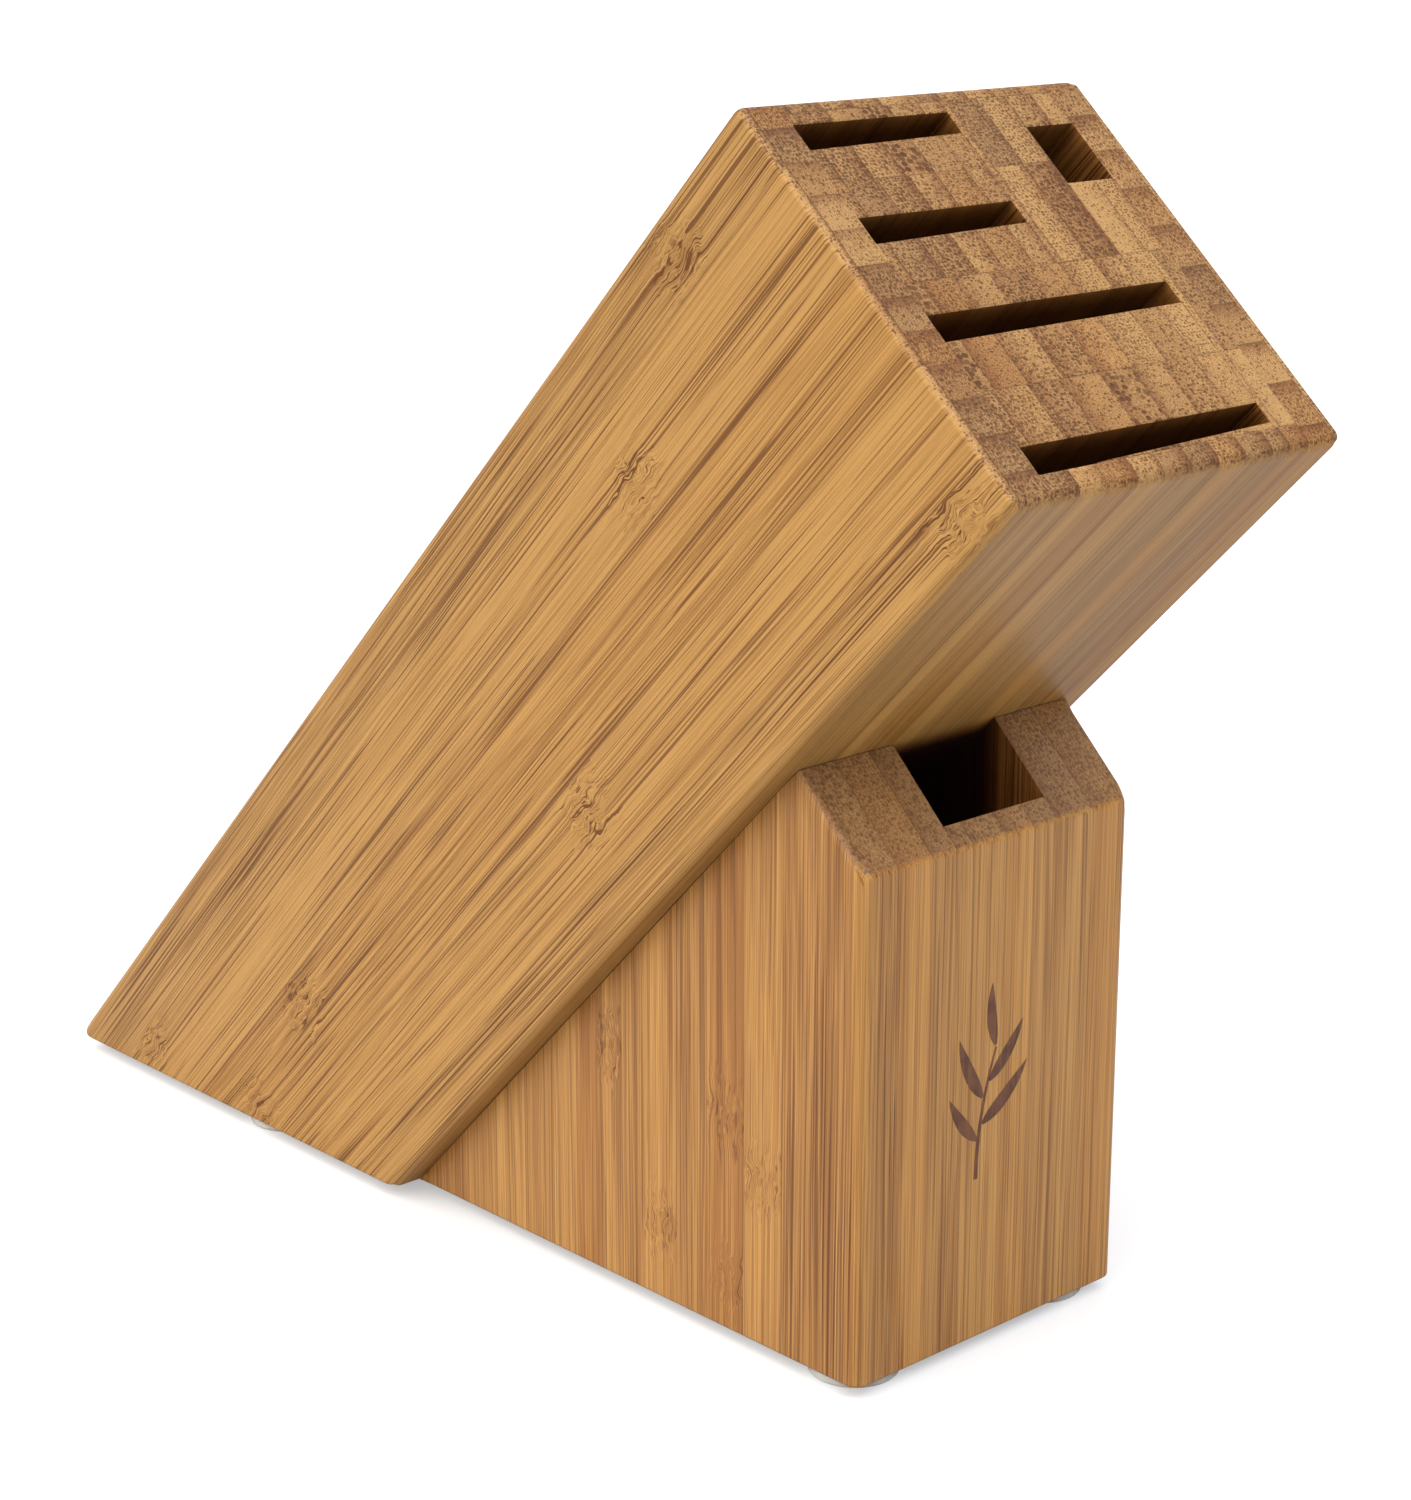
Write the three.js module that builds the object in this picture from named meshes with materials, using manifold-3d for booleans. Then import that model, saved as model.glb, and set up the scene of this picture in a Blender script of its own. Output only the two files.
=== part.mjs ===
// An empty slim knife block: a laminated bamboo block that leans back over a bamboo support.
// Four slots for blades and a square slot for a honing steel run right through the leaning block,
// and a wide slot for shears runs through the support under it. Four clear feet carry the block.
// Millimetres, +Z up. The open end faces -Y, and X runs across. The origin is on the surface that
// the feet stand on, at the middle of the bounding box.

import * as THREE from "three";
import { ConvexGeometry } from "three/addons/geometries/ConvexGeometry.js";
import { mergeVertices } from "three/addons/utils/BufferGeometryUtils.js";
import Module from "manifold-3d";

const manifold = await Module();
manifold.setup();

// The leaning block
const BLOCK_WIDTH = 89;
const BLOCK_THICKNESS = 90.5; // square to its long axis
const UNDERSIDE_LENGTH = 248.9; // from the surface under the block up to the front lip
const LEAN = THREE.MathUtils.degToRad(45.5); // rise of the long axis above the table
const END_TILT = THREE.MathUtils.degToRad(2.4); // the end face leans this much past square
const BLOCK_EDGE_RADIUS = 2;

// The support under it
const SUPPORT_WIDTH = 74.7;
const SUPPORT_FRONT_TO_HEEL = 134; // from its front face to the foot of the underside
const SUPPORT_FRONT_HEIGHT = 102.1;
const SUPPORT_EDGE_RADIUS = 2;

// The feet
const FOOT_RADIUS = 9;
const FOOT_HEIGHT = 2.6;
const FOOT_EDGE = 0.6;
const FOOT_INSET = 10.6; // from a side face to a foot's centre
const FRONT_FOOT_SETBACK = 11; // from the support's front face
const REAR_FOOT_SETBACK = 187;

// Layers of the leaning block, as distances from its back face
const BACK_BOARD = 3.2;
const CORE_JOINTS = [BACK_BOARD, 19.6, 42.8, 67.2, 85.2];

// Boards that close the slots at both sides, as distances from the left face
const SIDE_PLY = 2;
const LEFT_WALL = 10;
const RIGHT_WALL = BLOCK_WIDTH - 9.5;

// Slots: distance from the back face, and where the closed end lies
const SLOT_AT_WALL = 6; // thickness of a blade slot where it is milled in
const SLOT_AT_END = 5.2; // and at its closed end, because its floor rises
const SHORT_SLOT_END = 49.3;
const LONG_SLOT_END = 73.3;
const SLOTS = [
  { roof: 5.8, end: SHORT_SLOT_END },
  { roof: 27.7, end: SHORT_SLOT_END },
  { roof: 50, end: LONG_SLOT_END },
  { roof: 79.2, end: LONG_SLOT_END },
];
const STEEL_SLOT = { left: 66.7, roof: 11, floor: 25.1 };
const SHEARS_SLOT = { left: 25, right: 53.2, depth: 18.7 }; // across the support, under the block

// Glue lines between the layers of the support, across it from its left face
const LEFT_LAYERS = [0, 9.4, 18.4, SHEARS_SLOT.left];
const MIDDLE_LAYERS = [SHEARS_SLOT.left, 29.5, 38.5, 46.5, SHEARS_SLOT.right];
const RIGHT_LAYERS = [SHEARS_SLOT.right, 63.4, SUPPORT_WIDTH];

const GLUE_GAP = 0.3; // left between glued pieces
const FOOT_GAP = 0.1; // left between a foot and the wood above it
const ALLOWANCE = 5; // wood past the finished outline, which the outline trims off
const CORNER_STEPS = 3; // points along a quarter of a rounded edge

const BAMBOO = { color: 0xc5935a, roughness: 0.55, metalness: 0 };
const BAMBOO_DARK = { color: 0xb07f50, roughness: 0.6, metalness: 0 };
const BAMBOO_LIGHT = { color: 0xcfa46c, roughness: 0.55, metalness: 0 };
const CLEAR_RUBBER = { color: 0xdfe2dc, roughness: 0.25, metalness: 0 };

// ---------------------------------------------------------------- solids

/** A closed geometry as a solid that can be joined and cut. */
function toSolid(geometry) {
  const bare = geometry.index ? geometry.toNonIndexed() : geometry.clone();
  bare.deleteAttribute("normal");
  bare.deleteAttribute("uv");
  const merged = mergeVertices(bare, 1e-4);
  const mesh = new manifold.Mesh({
    numProp: 3,
    vertProperties: new Float32Array(merged.attributes.position.array),
    triVerts: new Uint32Array(merged.index.array),
  });
  return new manifold.Manifold(mesh);
}

/** A solid as a geometry again. */
function toGeometry(solid) {
  const { vertProperties, triVerts } = solid.getMesh();
  const geometry = new THREE.BufferGeometry();
  geometry.setAttribute("position", new THREE.BufferAttribute(vertProperties, 3));
  geometry.setIndex(new THREE.BufferAttribute(triVerts, 1));
  geometry.computeVertexNormals();
  return geometry;
}

/** A named mesh with a finish of its own. */
function piece(name, geometry, finish) {
  const mesh = new THREE.Mesh(geometry, new THREE.MeshStandardMaterial(finish));
  mesh.name = name;
  return mesh;
}

/** The piece that the outline leaves of a blank. */
function trimmed(name, blank, outline, finish) {
  return piece(name, toGeometry(toSolid(blank).intersect(outline)), finish);
}

/** Points on a ball, so that a hull of several balls has rounded edges and corners. */
function ballPoints(centre, radius) {
  const ball = new THREE.SphereGeometry(radius, 4 * CORNER_STEPS, 2 * CORNER_STEPS);
  const at = ball.attributes.position;
  const points = [];
  for (let i = 0; i < at.count; i += 1) {
    points.push(new THREE.Vector3().fromBufferAttribute(at, i).add(centre));
  }
  return points;
}

/** Where two lines of a profile meet, each kept a radius inside: a line is a point and a normal. */
function insideCorner(first, second, radius) {
  const [a, b] = [first, second].map(({ point, normal }) => ({
    normal,
    offset: point.dot(normal) - radius,
  }));
  const det = a.normal.x * b.normal.y - a.normal.y * b.normal.x;
  return new THREE.Vector2(
    (a.offset * b.normal.y - b.offset * a.normal.y) / det,
    (a.normal.x * b.offset - b.normal.x * a.offset) / det,
  );
}

/** A convex profile in the YZ plane, given by its sides in order, as wide as it is told. */
function roundedOutline(sides, left, right, radius) {
  const points = sides.flatMap((side, i) => {
    const corner = insideCorner(side, sides[(i + 1) % sides.length], radius);
    return [left + radius, right - radius].flatMap((x) =>
      ballPoints(new THREE.Vector3(x, corner.x, corner.y), radius));
  });
  return toSolid(new ConvexGeometry(points));
}

/** One side of a profile: a point (y, z) on it and the direction that it faces. */
function side(y, z, normalY, normalZ) {
  return { point: new THREE.Vector2(y, z), normal: new THREE.Vector2(normalY, normalZ).normalize() };
}

// ---------------------------------------------------------------- the leaning block

// The block is built upright and then leaned over. Its long axis is Z, its underside is Y = 0, and
// its back face is Y = BLOCK_THICKNESS. The table cuts it off at a slant, through the origin.

const TABLE_SLOPE = 1 / Math.tan(LEAN);

/** Height of the table cut under a line that lies this far above the underside. */
const tableAt = (y) => -y * TABLE_SLOPE;

/** Height of the end face over that line. */
const endAt = (y) => UNDERSIDE_LENGTH - y * Math.tan(END_TILT);

/** The finished outside of the leaning block. */
function blockOutline() {
  const sides = [
    side(0, 0, -1, 0),
    side(0, 0, -Math.cos(LEAN), -Math.sin(LEAN)),
    side(BLOCK_THICKNESS, 0, 1, 0),
    side(0, UNDERSIDE_LENGTH, Math.sin(END_TILT), Math.cos(END_TILT)),
  ];
  return roundedOutline(sides, -BLOCK_WIDTH / 2, BLOCK_WIDTH / 2, BLOCK_EDGE_RADIUS);
}

/**
 * A board of the leaning block. left and right are distances from the left face, back and front
 * are distances from the back face. backRight is where its back side ends at the right, on a board
 * under a slot whose floor rises. open names the sides that face a slot, which have no glue.
 */
function board({ left, right, back, front, backRight = back, open = [] }) {
  const step = (at, inward, sideName, outside) => {
    if (outside) return at - inward * ALLOWANCE;
    return open.includes(sideName) ? at : at + (inward * GLUE_GAP) / 2;
  };
  const x0 = step(left, 1, "left", left === 0) - BLOCK_WIDTH / 2;
  const x1 = step(right, -1, "right", right === BLOCK_WIDTH) - BLOCK_WIDTH / 2;
  const near = [back, backRight].map((at) => step(at, 1, "back", back === 0));
  const far = step(front, -1, "front", front === BLOCK_THICKNESS);
  const corners = [[x0, near[0]], [x1, near[1]], [x1, far], [x0, far]];
  const points = corners.flatMap(([x, fromBack]) => {
    const y = BLOCK_THICKNESS - fromBack;
    return [tableAt(y) - ALLOWANCE, endAt(y) + ALLOWANCE].map((z) => new THREE.Vector3(x, y, z));
  });
  return new ConvexGeometry(points);
}

/** Boards of one core layer that has a blade slot in it, split where the slot ends. */
function slottedLayer(index) {
  const [back, front] = [CORE_JOINTS[index], CORE_JOINTS[index + 1]];
  const { roof, end } = SLOTS[index];
  const [left, floor] = [LEFT_WALL, roof + SLOT_AT_WALL];
  const limbs = { roof: { left, right: end, back, front: roof, open: ["front"] } };
  if (floor < front) {
    const backRight = roof + SLOT_AT_END;
    limbs.floor = { left, right: end, back: floor, backRight, front, open: ["back"] };
  }
  return limbs;
}

/** Every board of the leaning block, by name. */
function blockBoards() {
  const [left, right] = [LEFT_WALL, RIGHT_WALL];
  const depth = { back: 0, front: BLOCK_THICKNESS };
  const boards = {
    side_ply_left: { left: 0, right: SIDE_PLY, ...depth },
    side_board_left: { left: SIDE_PLY, right: left, ...depth, open: ["right"] },
    side_board_right: { left: right, right: BLOCK_WIDTH - SIDE_PLY, ...depth, open: ["left"] },
    side_ply_right: { left: BLOCK_WIDTH - SIDE_PLY, right: BLOCK_WIDTH, ...depth },
    back_board: { left, right, back: 0, front: BACK_BOARD },
    underside_board: { left, right, back: CORE_JOINTS[4], front: BLOCK_THICKNESS, open: ["back"] },
  };
  SLOTS.forEach((slot, index) => {
    for (const [limb, cut] of Object.entries(slottedLayer(index))) {
      boards[`core_${index + 1}_${limb}`] = cut;
    }
    const wide = index < 2 ? STEEL_SLOT.left : right;
    const [back, front] = [CORE_JOINTS[index], CORE_JOINTS[index + 1]];
    boards[`core_${index + 1}_web`] = { left: slot.end, right: wide, back, front, open: ["left"] };
  });
  boards.core_1_web.open.push("right");
  boards.core_2_web.open.push("right");
  boards.steel_slot_roof = {
    left: STEEL_SLOT.left, right, back: CORE_JOINTS[0], front: STEEL_SLOT.roof, open: ["front"],
  };
  boards.steel_slot_floor = {
    left: STEEL_SLOT.left, right, back: STEEL_SLOT.floor, front: CORE_JOINTS[2], open: ["back"],
  };
  return boards;
}

/** The side plies are golden, the boards behind them darker, and the core between them pale. */
function boardFinish(name) {
  if (name.startsWith("side_ply")) return BAMBOO;
  return name.startsWith("core") ? BAMBOO_LIGHT : BAMBOO_DARK;
}

function leaningBlock() {
  const outline = blockOutline();
  const block = new THREE.Group();
  for (const [name, cut] of Object.entries(blockBoards())) {
    block.add(trimmed(name, board(cut), outline, boardFinish(name)));
  }
  block.rotation.x = Math.PI / 2 - LEAN;
  return block;
}

// ---------------------------------------------------------------- the support

// The support stands with its front face at Y = 0 and its foot on Z = 0. Its top slopes down to
// the front, square to the underside of the block, which closes it at the back.

/** A plane parallel to the underside of the block, this far below it. */
function belowUnderside(distance) {
  const foot = SUPPORT_FRONT_TO_HEEL - distance / Math.sin(LEAN);
  return side(foot, 0, Math.sin(LEAN), Math.cos(LEAN));
}

/** The finished outside of the support, with wood to spare where it meets the block. */
function supportOutline() {
  const sides = [
    side(0, 0, -1, 0),
    side(0, 0, 0, -1),
    belowUnderside(-ALLOWANCE),
    side(0, SUPPORT_FRONT_HEIGHT, -Math.cos(LEAN), Math.sin(LEAN)),
  ];
  return roundedOutline(sides, -SUPPORT_WIDTH / 2, SUPPORT_WIDTH / 2, SUPPORT_EDGE_RADIUS);
}

/** A layer of the support, from left to right, that ends this far below the underside. */
function supportLayer(left, right, below) {
  const foot = belowUnderside(below).point.x;
  const heel = foot + ALLOWANCE / Math.tan(LEAN);
  const peak = (foot + ALLOWANCE) * Math.tan(LEAN);
  const profile = [[-ALLOWANCE, -ALLOWANCE], [heel, -ALLOWANCE], [-ALLOWANCE, peak]];
  const points = profile.flatMap(([y, z]) =>
    [left, right].map((x) => new THREE.Vector3(x - SUPPORT_WIDTH / 2, y, z)));
  return new ConvexGeometry(points);
}

/** Layers side by side. The outer ones have wood to spare, or none where they wall a slot. */
function layerStack(name, joints, below, spareLeft, spareRight, outline, finish) {
  return joints.slice(1).map((joint, i) => {
    const left = i === 0 ? joints[0] - spareLeft : joints[i] + GLUE_GAP / 2;
    const right = i === joints.length - 2 ? joint + spareRight : joint - GLUE_GAP / 2;
    return trimmed(`${name}_${i + 1}`, supportLayer(left, right, below), outline, finish);
  });
}

function support() {
  const outline = supportOutline();
  const glue = -GLUE_GAP / 2;
  const group = new THREE.Group();
  group.add(
    ...layerStack("support_left", LEFT_LAYERS, GLUE_GAP, ALLOWANCE, 0, outline, BAMBOO),
    ...layerStack("support_middle", MIDDLE_LAYERS, SHEARS_SLOT.depth, glue, glue, outline, BAMBOO_DARK),
    ...layerStack("support_right", RIGHT_LAYERS, GLUE_GAP, 0, ALLOWANCE, outline, BAMBOO),
  );
  return group;
}

// ---------------------------------------------------------------- the feet

function foot(name, x, y) {
  const top = FOOT_HEIGHT - FOOT_GAP;
  const profile = [
    [0, 0],
    [FOOT_RADIUS - FOOT_EDGE, 0],
    [FOOT_RADIUS, FOOT_EDGE],
    [FOOT_RADIUS, top],
    [0, top],
  ].map(([r, z]) => new THREE.Vector2(r, z));
  const geometry = new THREE.LatheGeometry(profile, 32);
  geometry.rotateX(Math.PI / 2);
  const mesh = piece(name, geometry, CLEAR_RUBBER);
  mesh.position.set(x, y, 0);
  return mesh;
}

function feet() {
  const group = new THREE.Group();
  const rows = [
    ["front", SUPPORT_WIDTH, FRONT_FOOT_SETBACK],
    ["rear", BLOCK_WIDTH, REAR_FOOT_SETBACK],
  ];
  for (const [row, width, y] of rows) {
    const reach = width / 2 - FOOT_INSET;
    group.add(foot(`foot_${row}_left`, -reach, y));
    group.add(foot(`foot_${row}_right`, reach, y));
  }
  return group;
}

// ---------------------------------------------------------------- the whole block

function knifeBlock() {
  const block = leaningBlock();
  block.position.set(0, SUPPORT_FRONT_TO_HEEL, 0);
  const wood = new THREE.Group();
  wood.add(block, support());
  wood.position.z = FOOT_HEIGHT;
  const whole = new THREE.Group();
  whole.add(wood, feet());
  whole.position.y = -new THREE.Box3().setFromObject(whole, true).getCenter(new THREE.Vector3()).y;
  return whole;
}

export default knifeBlock();
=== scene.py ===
"""An empty slim knife block of laminated bamboo, leaning back over a bamboo support on clear feet.

Every board is one closed shell laid out in strips. A strip knows how it was cut from the culm, so one
solid pattern gives long fibres along its sides and dots on its ends. Sizes are in millimetres until a
mesh is made.
"""

import logging
import math
from dataclasses import dataclass, replace
from enum import Enum
from functools import partial, reduce

import bpy
import numpy as np
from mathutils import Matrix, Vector


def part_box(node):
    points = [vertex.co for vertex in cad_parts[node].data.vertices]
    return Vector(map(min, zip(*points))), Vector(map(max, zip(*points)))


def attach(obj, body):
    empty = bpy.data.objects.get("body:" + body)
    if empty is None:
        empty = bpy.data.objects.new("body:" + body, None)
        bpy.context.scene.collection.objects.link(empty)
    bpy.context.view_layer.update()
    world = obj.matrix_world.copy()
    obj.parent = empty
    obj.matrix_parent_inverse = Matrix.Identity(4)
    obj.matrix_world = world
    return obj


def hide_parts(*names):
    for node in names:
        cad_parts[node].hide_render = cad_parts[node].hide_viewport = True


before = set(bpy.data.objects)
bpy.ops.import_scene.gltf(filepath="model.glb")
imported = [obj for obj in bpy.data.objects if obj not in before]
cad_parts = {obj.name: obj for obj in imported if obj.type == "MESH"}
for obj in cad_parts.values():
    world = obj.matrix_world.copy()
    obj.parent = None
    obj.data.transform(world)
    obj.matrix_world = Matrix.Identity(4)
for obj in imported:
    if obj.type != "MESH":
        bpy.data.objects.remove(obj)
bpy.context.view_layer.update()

log = logging.getLogger("knife_block")

Mesh = bpy.types.Mesh
Material = bpy.types.Material
Node = bpy.types.Node
Socket = bpy.types.NodeSocket
Tree = bpy.types.NodeTree

MM = 0.001
BODY = "root"
LEAN = math.radians(45.5)
SMOOTH_UP_TO = math.radians(32)
TINY = 1e-9

# A wedge that the CAD model leaves out
LIP = "core_4_lip"

# How far the support's glued top stays below the block, which leaves a dark line
GLUE_SHADOW = 0.15

# Where the knuckle of a strip without one lies
FAR_OFF = 900.0

# Each board has its own random draws, numbered from these
BLOCK_SEED = 100
SUPPORT_SEED = 200

# Distances from a sharp edge, as shares of its radius, that become even steps round the arc
ARC_SHARES = 1 - np.tan(np.linspace(0, math.pi / 4, 6))


class Axis(Enum):
    """A direction in a timber's cross-section, by the number of its coordinate."""

    ACROSS = 0
    DEPTH = 1


class Cut(Enum):
    """How a strip of bamboo looks: lightness, how many bundles show, warmth, and their size."""

    PALE = (0.75, 0.15, 0.25, 0.9)
    LIGHT = (0.45, 0.35, 0.3, 0.9)
    PLAIN = (0.0, 0.5, 0.1, 1.0)
    WARM = (-0.1, 0.5, 1.0, 0.9)
    RED = (-0.5, 0.55, 1.2, 0.9)
    GREY = (-0.4, 0.65, -1.0, 0.95)
    DENSE = (-0.35, 0.95, 0.0, 0.95)
    DARK = (-0.75, 1.1, 0.1, 1.15)
    COARSE = (-0.3, 1.3, 0.2, 1.55)


# ---------------------------------------------------------------- profiles


@dataclass(frozen=True)
class Side:
    """One straight side of a profile: a point on it, the way it faces, and how round its edges are.

    A long side runs with the grain. The others are caps, which close the ends.
    """

    y: float
    z: float
    facing_y: float
    facing_z: float
    ease: float
    long: bool = False


class Profile:
    """A convex outline in the (y, z) plane whose corners are arcs.

    Near a corner, one side's edge radius blends into the next one's over a distance of about blend.
    """

    blend = 0.8
    arc_count = 15

    def __init__(self, sides: list[Side], radii: list[float]) -> None:
        """Works out the arc centres: each lies its radius inside both of its sides.

        Args:
            sides: The sides in order round the outline.
            radii: The radius of the corner between each side and the next.
        """
        self.points = np.array([(s.y, s.z) for s in sides])
        facing = np.array([(s.facing_y, s.facing_z) for s in sides])
        self.normals = facing / np.linalg.norm(facing, axis=1, keepdims=True)
        self.ease = np.array([s.ease for s in sides])
        self.long = np.array([s.long for s in sides])
        self.radii = np.array(radii)
        reach = (self.points * self.normals).sum(1)
        following = np.roll(np.arange(len(sides)), -1)
        pairs = np.stack([self.normals, self.normals[following]], 1)
        offsets = np.stack([reach - self.radii, reach[following] - self.radii], 1)
        self.centres = np.linalg.solve(pairs, offsets[..., None])[..., 0]

    def gaps(self, p: np.ndarray) -> np.ndarray:
        """How far inside each side's line each point is, one column for each side."""
        return ((self.points[None] - p[:, None]) * self.normals[None]).sum(-1)

    def nearest(self, p: np.ndarray, long: bool) -> tuple[np.ndarray, np.ndarray, np.ndarray]:
        """The nearest side of one kind, long or cap.

        Args:
            p: Points of the profile, as rows.
            long: The kind.

        Returns:
            The distance inside it, its outward normal, and its edge radius, which changes smoothly where
            two sides are about as near.
        """
        each = self.gaps(p)[:, self.long == long]
        gap = each.min(1)
        weight = np.exp((gap[:, None] - each) / self.blend)
        ease = weight @ self.ease[self.long == long] / weight.sum(1)
        return gap, self.normals[self.long == long][each.argmin(1)], ease

    def depth(self, p: np.ndarray) -> tuple[np.ndarray, np.ndarray]:
        """How far inside the outline each point is, by the nearest side or corner arc.

        Args:
            p: Points of the profile, as rows.

        Returns:
            The depth and the outward normals as rows.
        """
        each = self.gaps(p)
        depth, normal = each.min(1), self.normals[each.argmin(1)].copy()
        for i, (centre, radius) in enumerate(zip(self.centres, self.radii)):
            j = (i + 1) % len(self.points)
            share = np.linalg.solve(np.stack([self.normals[i], self.normals[j]], 1), (p - centre).T).T
            held = (share > 0).all(1)
            away = np.linalg.norm(p[held] - centre, axis=1)
            depth[held] = radius - away
            normal[held] = (p[held] - centre) / np.maximum(away, TINY)[:, None]
        return depth, normal

    def bound(self, y: np.ndarray, side: int, top: bool) -> np.ndarray:
        """Height of one side over each y, with the arcs at its two ends.

        Args:
            y: Places across the profile.
            side: The side's number.
            top: True if the side bounds the outline from above.

        Returns:
            The height there.
        """
        (py, pz), (ny, nz) = self.points[side], self.normals[side]
        z = pz - (y - py) * ny / nz
        before, after = (side - 1) % len(self.points), (side + 1) % len(self.points)
        for corner, other in ((before, before), (side, after)):
            (cy, cz), r = self.centres[corner], self.radii[corner]
            tangent, outer = cy + r * ny, cy + r * np.sign(self.normals[other][0])
            arc = cz + (1.0 if top else -1.0) * np.sqrt(np.maximum(r * r - (y - cy) ** 2, 0))
            z = np.where((y - tangent) * np.sign(outer - tangent) > 0, arc, z)
        return z

    def arc_lines(self) -> np.ndarray:
        """Places across the profile that divide its corner arcs evenly."""
        turn = np.sin(np.linspace(-math.pi / 2, math.pi / 2, self.arc_count))
        return (self.centres[:, :1] + self.radii[:, None] * turn).ravel()


# ---------------------------------------------------------------- boards


@dataclass(frozen=True)
class Strip:
    """One strip in a board: its cut, whether its skin faces the high side, and its knuckles.

    A knuckle is a place across the strip, from the same face as the joints, and a place along it.
    """

    cut: Cut
    turned: bool = False
    knuckles: tuple[tuple[float, float], ...] = ()


@dataclass(frozen=True)
class Board:
    """A row of strips. Its bounds are places across the timber and through its depth, low to high.

    glued says which sides meet another board, as (left, right, low, high). low_rise and high_rise are how
    much higher the low and the high side lie at the right than at the left, and short is how far below its
    timber's closed top the board stops.
    """

    name: str
    left: float
    right: float
    low: float
    high: float
    along: Axis
    skin: Axis
    joints: tuple[float, ...]
    strips: tuple[Strip, ...]
    glued: tuple[bool, bool, bool, bool] = (True, True, True, True)
    low_rise: float = 0.0
    high_rise: float = 0.0
    short: float = 0.0


def shell_quads(nx: int, ny: int, nz: int) -> tuple[np.ndarray, np.ndarray]:
    """The outside of a lattice of points.

    Args:
        nx: Points across.
        ny: Points through the depth.
        nz: Points along.

    Returns:
        The numbers of the lattice points used, and outward quads over those.
    """
    n = np.arange(nx * ny * nz).reshape(nx, ny, nz)

    def tiles(grid: np.ndarray) -> np.ndarray:
        """Quads of a grid, which face the way its rows turn into its columns."""
        return np.stack([grid[:-1, :-1], grid[1:, :-1], grid[1:, 1:], grid[:-1, 1:]], -1).reshape(-1, 4)

    walls = [n[:, :, -1], n[:, :, 0].T, n[-1], n[0].T, n[:, -1].T, n[:, 0]]
    quads = np.concatenate([tiles(wall) for wall in walls])
    used, flat = np.unique(quads, return_inverse=True)
    return used, flat.reshape(quads.shape)


def lines(low: float, high: float, step: float, extra: np.ndarray, keep: np.ndarray) -> np.ndarray:
    """Grid lines from low to high.

    Args:
        low: First line.
        high: Last line.
        step: Widest spacing of the plain lines.
        extra: Lines where a surface bends.
        keep: Lines that have to stay exactly, such as joints.

    Returns:
        All of them in order, with none closer together than a hair unless both are kept.
    """
    hair, digits = 0.04, 4
    exact = np.concatenate([[low, high], keep[(keep > low) & (keep < high)]])
    plain = np.linspace(low, high, max(2, int(math.ceil((high - low) / step)) + 1))
    loose = np.concatenate([extra[(extra > low) & (extra < high)], plain])
    loose = np.unique(np.round(loose, digits))
    loose = loose[np.abs(loose[:, None] - exact[None]).min(1) > hair]
    if len(loose):
        loose = loose[np.concatenate([[True], np.diff(loose) > hair])]
    return np.unique(np.concatenate([exact, loose]))


def make_mesh(name: str, points: np.ndarray, faces: np.ndarray) -> Mesh:
    """A smooth mesh that keeps its corners sharp.

    Args:
        name: Name of the mesh.
        points: Vertices in millimetres, in the row frame.
        faces: Faces as rows of vertex numbers.

    Returns:
        The mesh, in metres.
    """
    mesh = bpy.data.meshes.new(name)
    mesh.from_pydata((points * MM).tolist(), [], faces.tolist())
    mesh.update()
    mesh.shade_smooth()
    mesh.set_sharp_from_angle(angle=SMOOTH_UP_TO)
    return mesh


def add_piece(mesh: Mesh, material: Material, node: str | None) -> None:
    """Puts a finished mesh into the object.

    Args:
        mesh: The mesh, whose name the piece takes.
        material: Its finish.
        node: The CAD node that it stands for, if there is one.
    """
    piece = bpy.data.objects.new(mesh.name, mesh)
    bpy.context.scene.collection.objects.link(piece)
    mesh.materials.append(material)
    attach(piece, BODY)
    if node:
        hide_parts(node)
    log.info("%s: %d faces, %s", piece.name, len(mesh.polygons), material.name)


def pressed(a: np.ndarray, b: np.ndarray) -> np.ndarray:
    """How far a point of the unit square moves to lie in the quarter disc, as a share of a and b.

    A point keeps its direction from the disc's centre, and its distance becomes the larger of a and b.
    """
    return 1 - np.maximum(a, b) / np.maximum(np.hypot(a, b), TINY)


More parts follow.
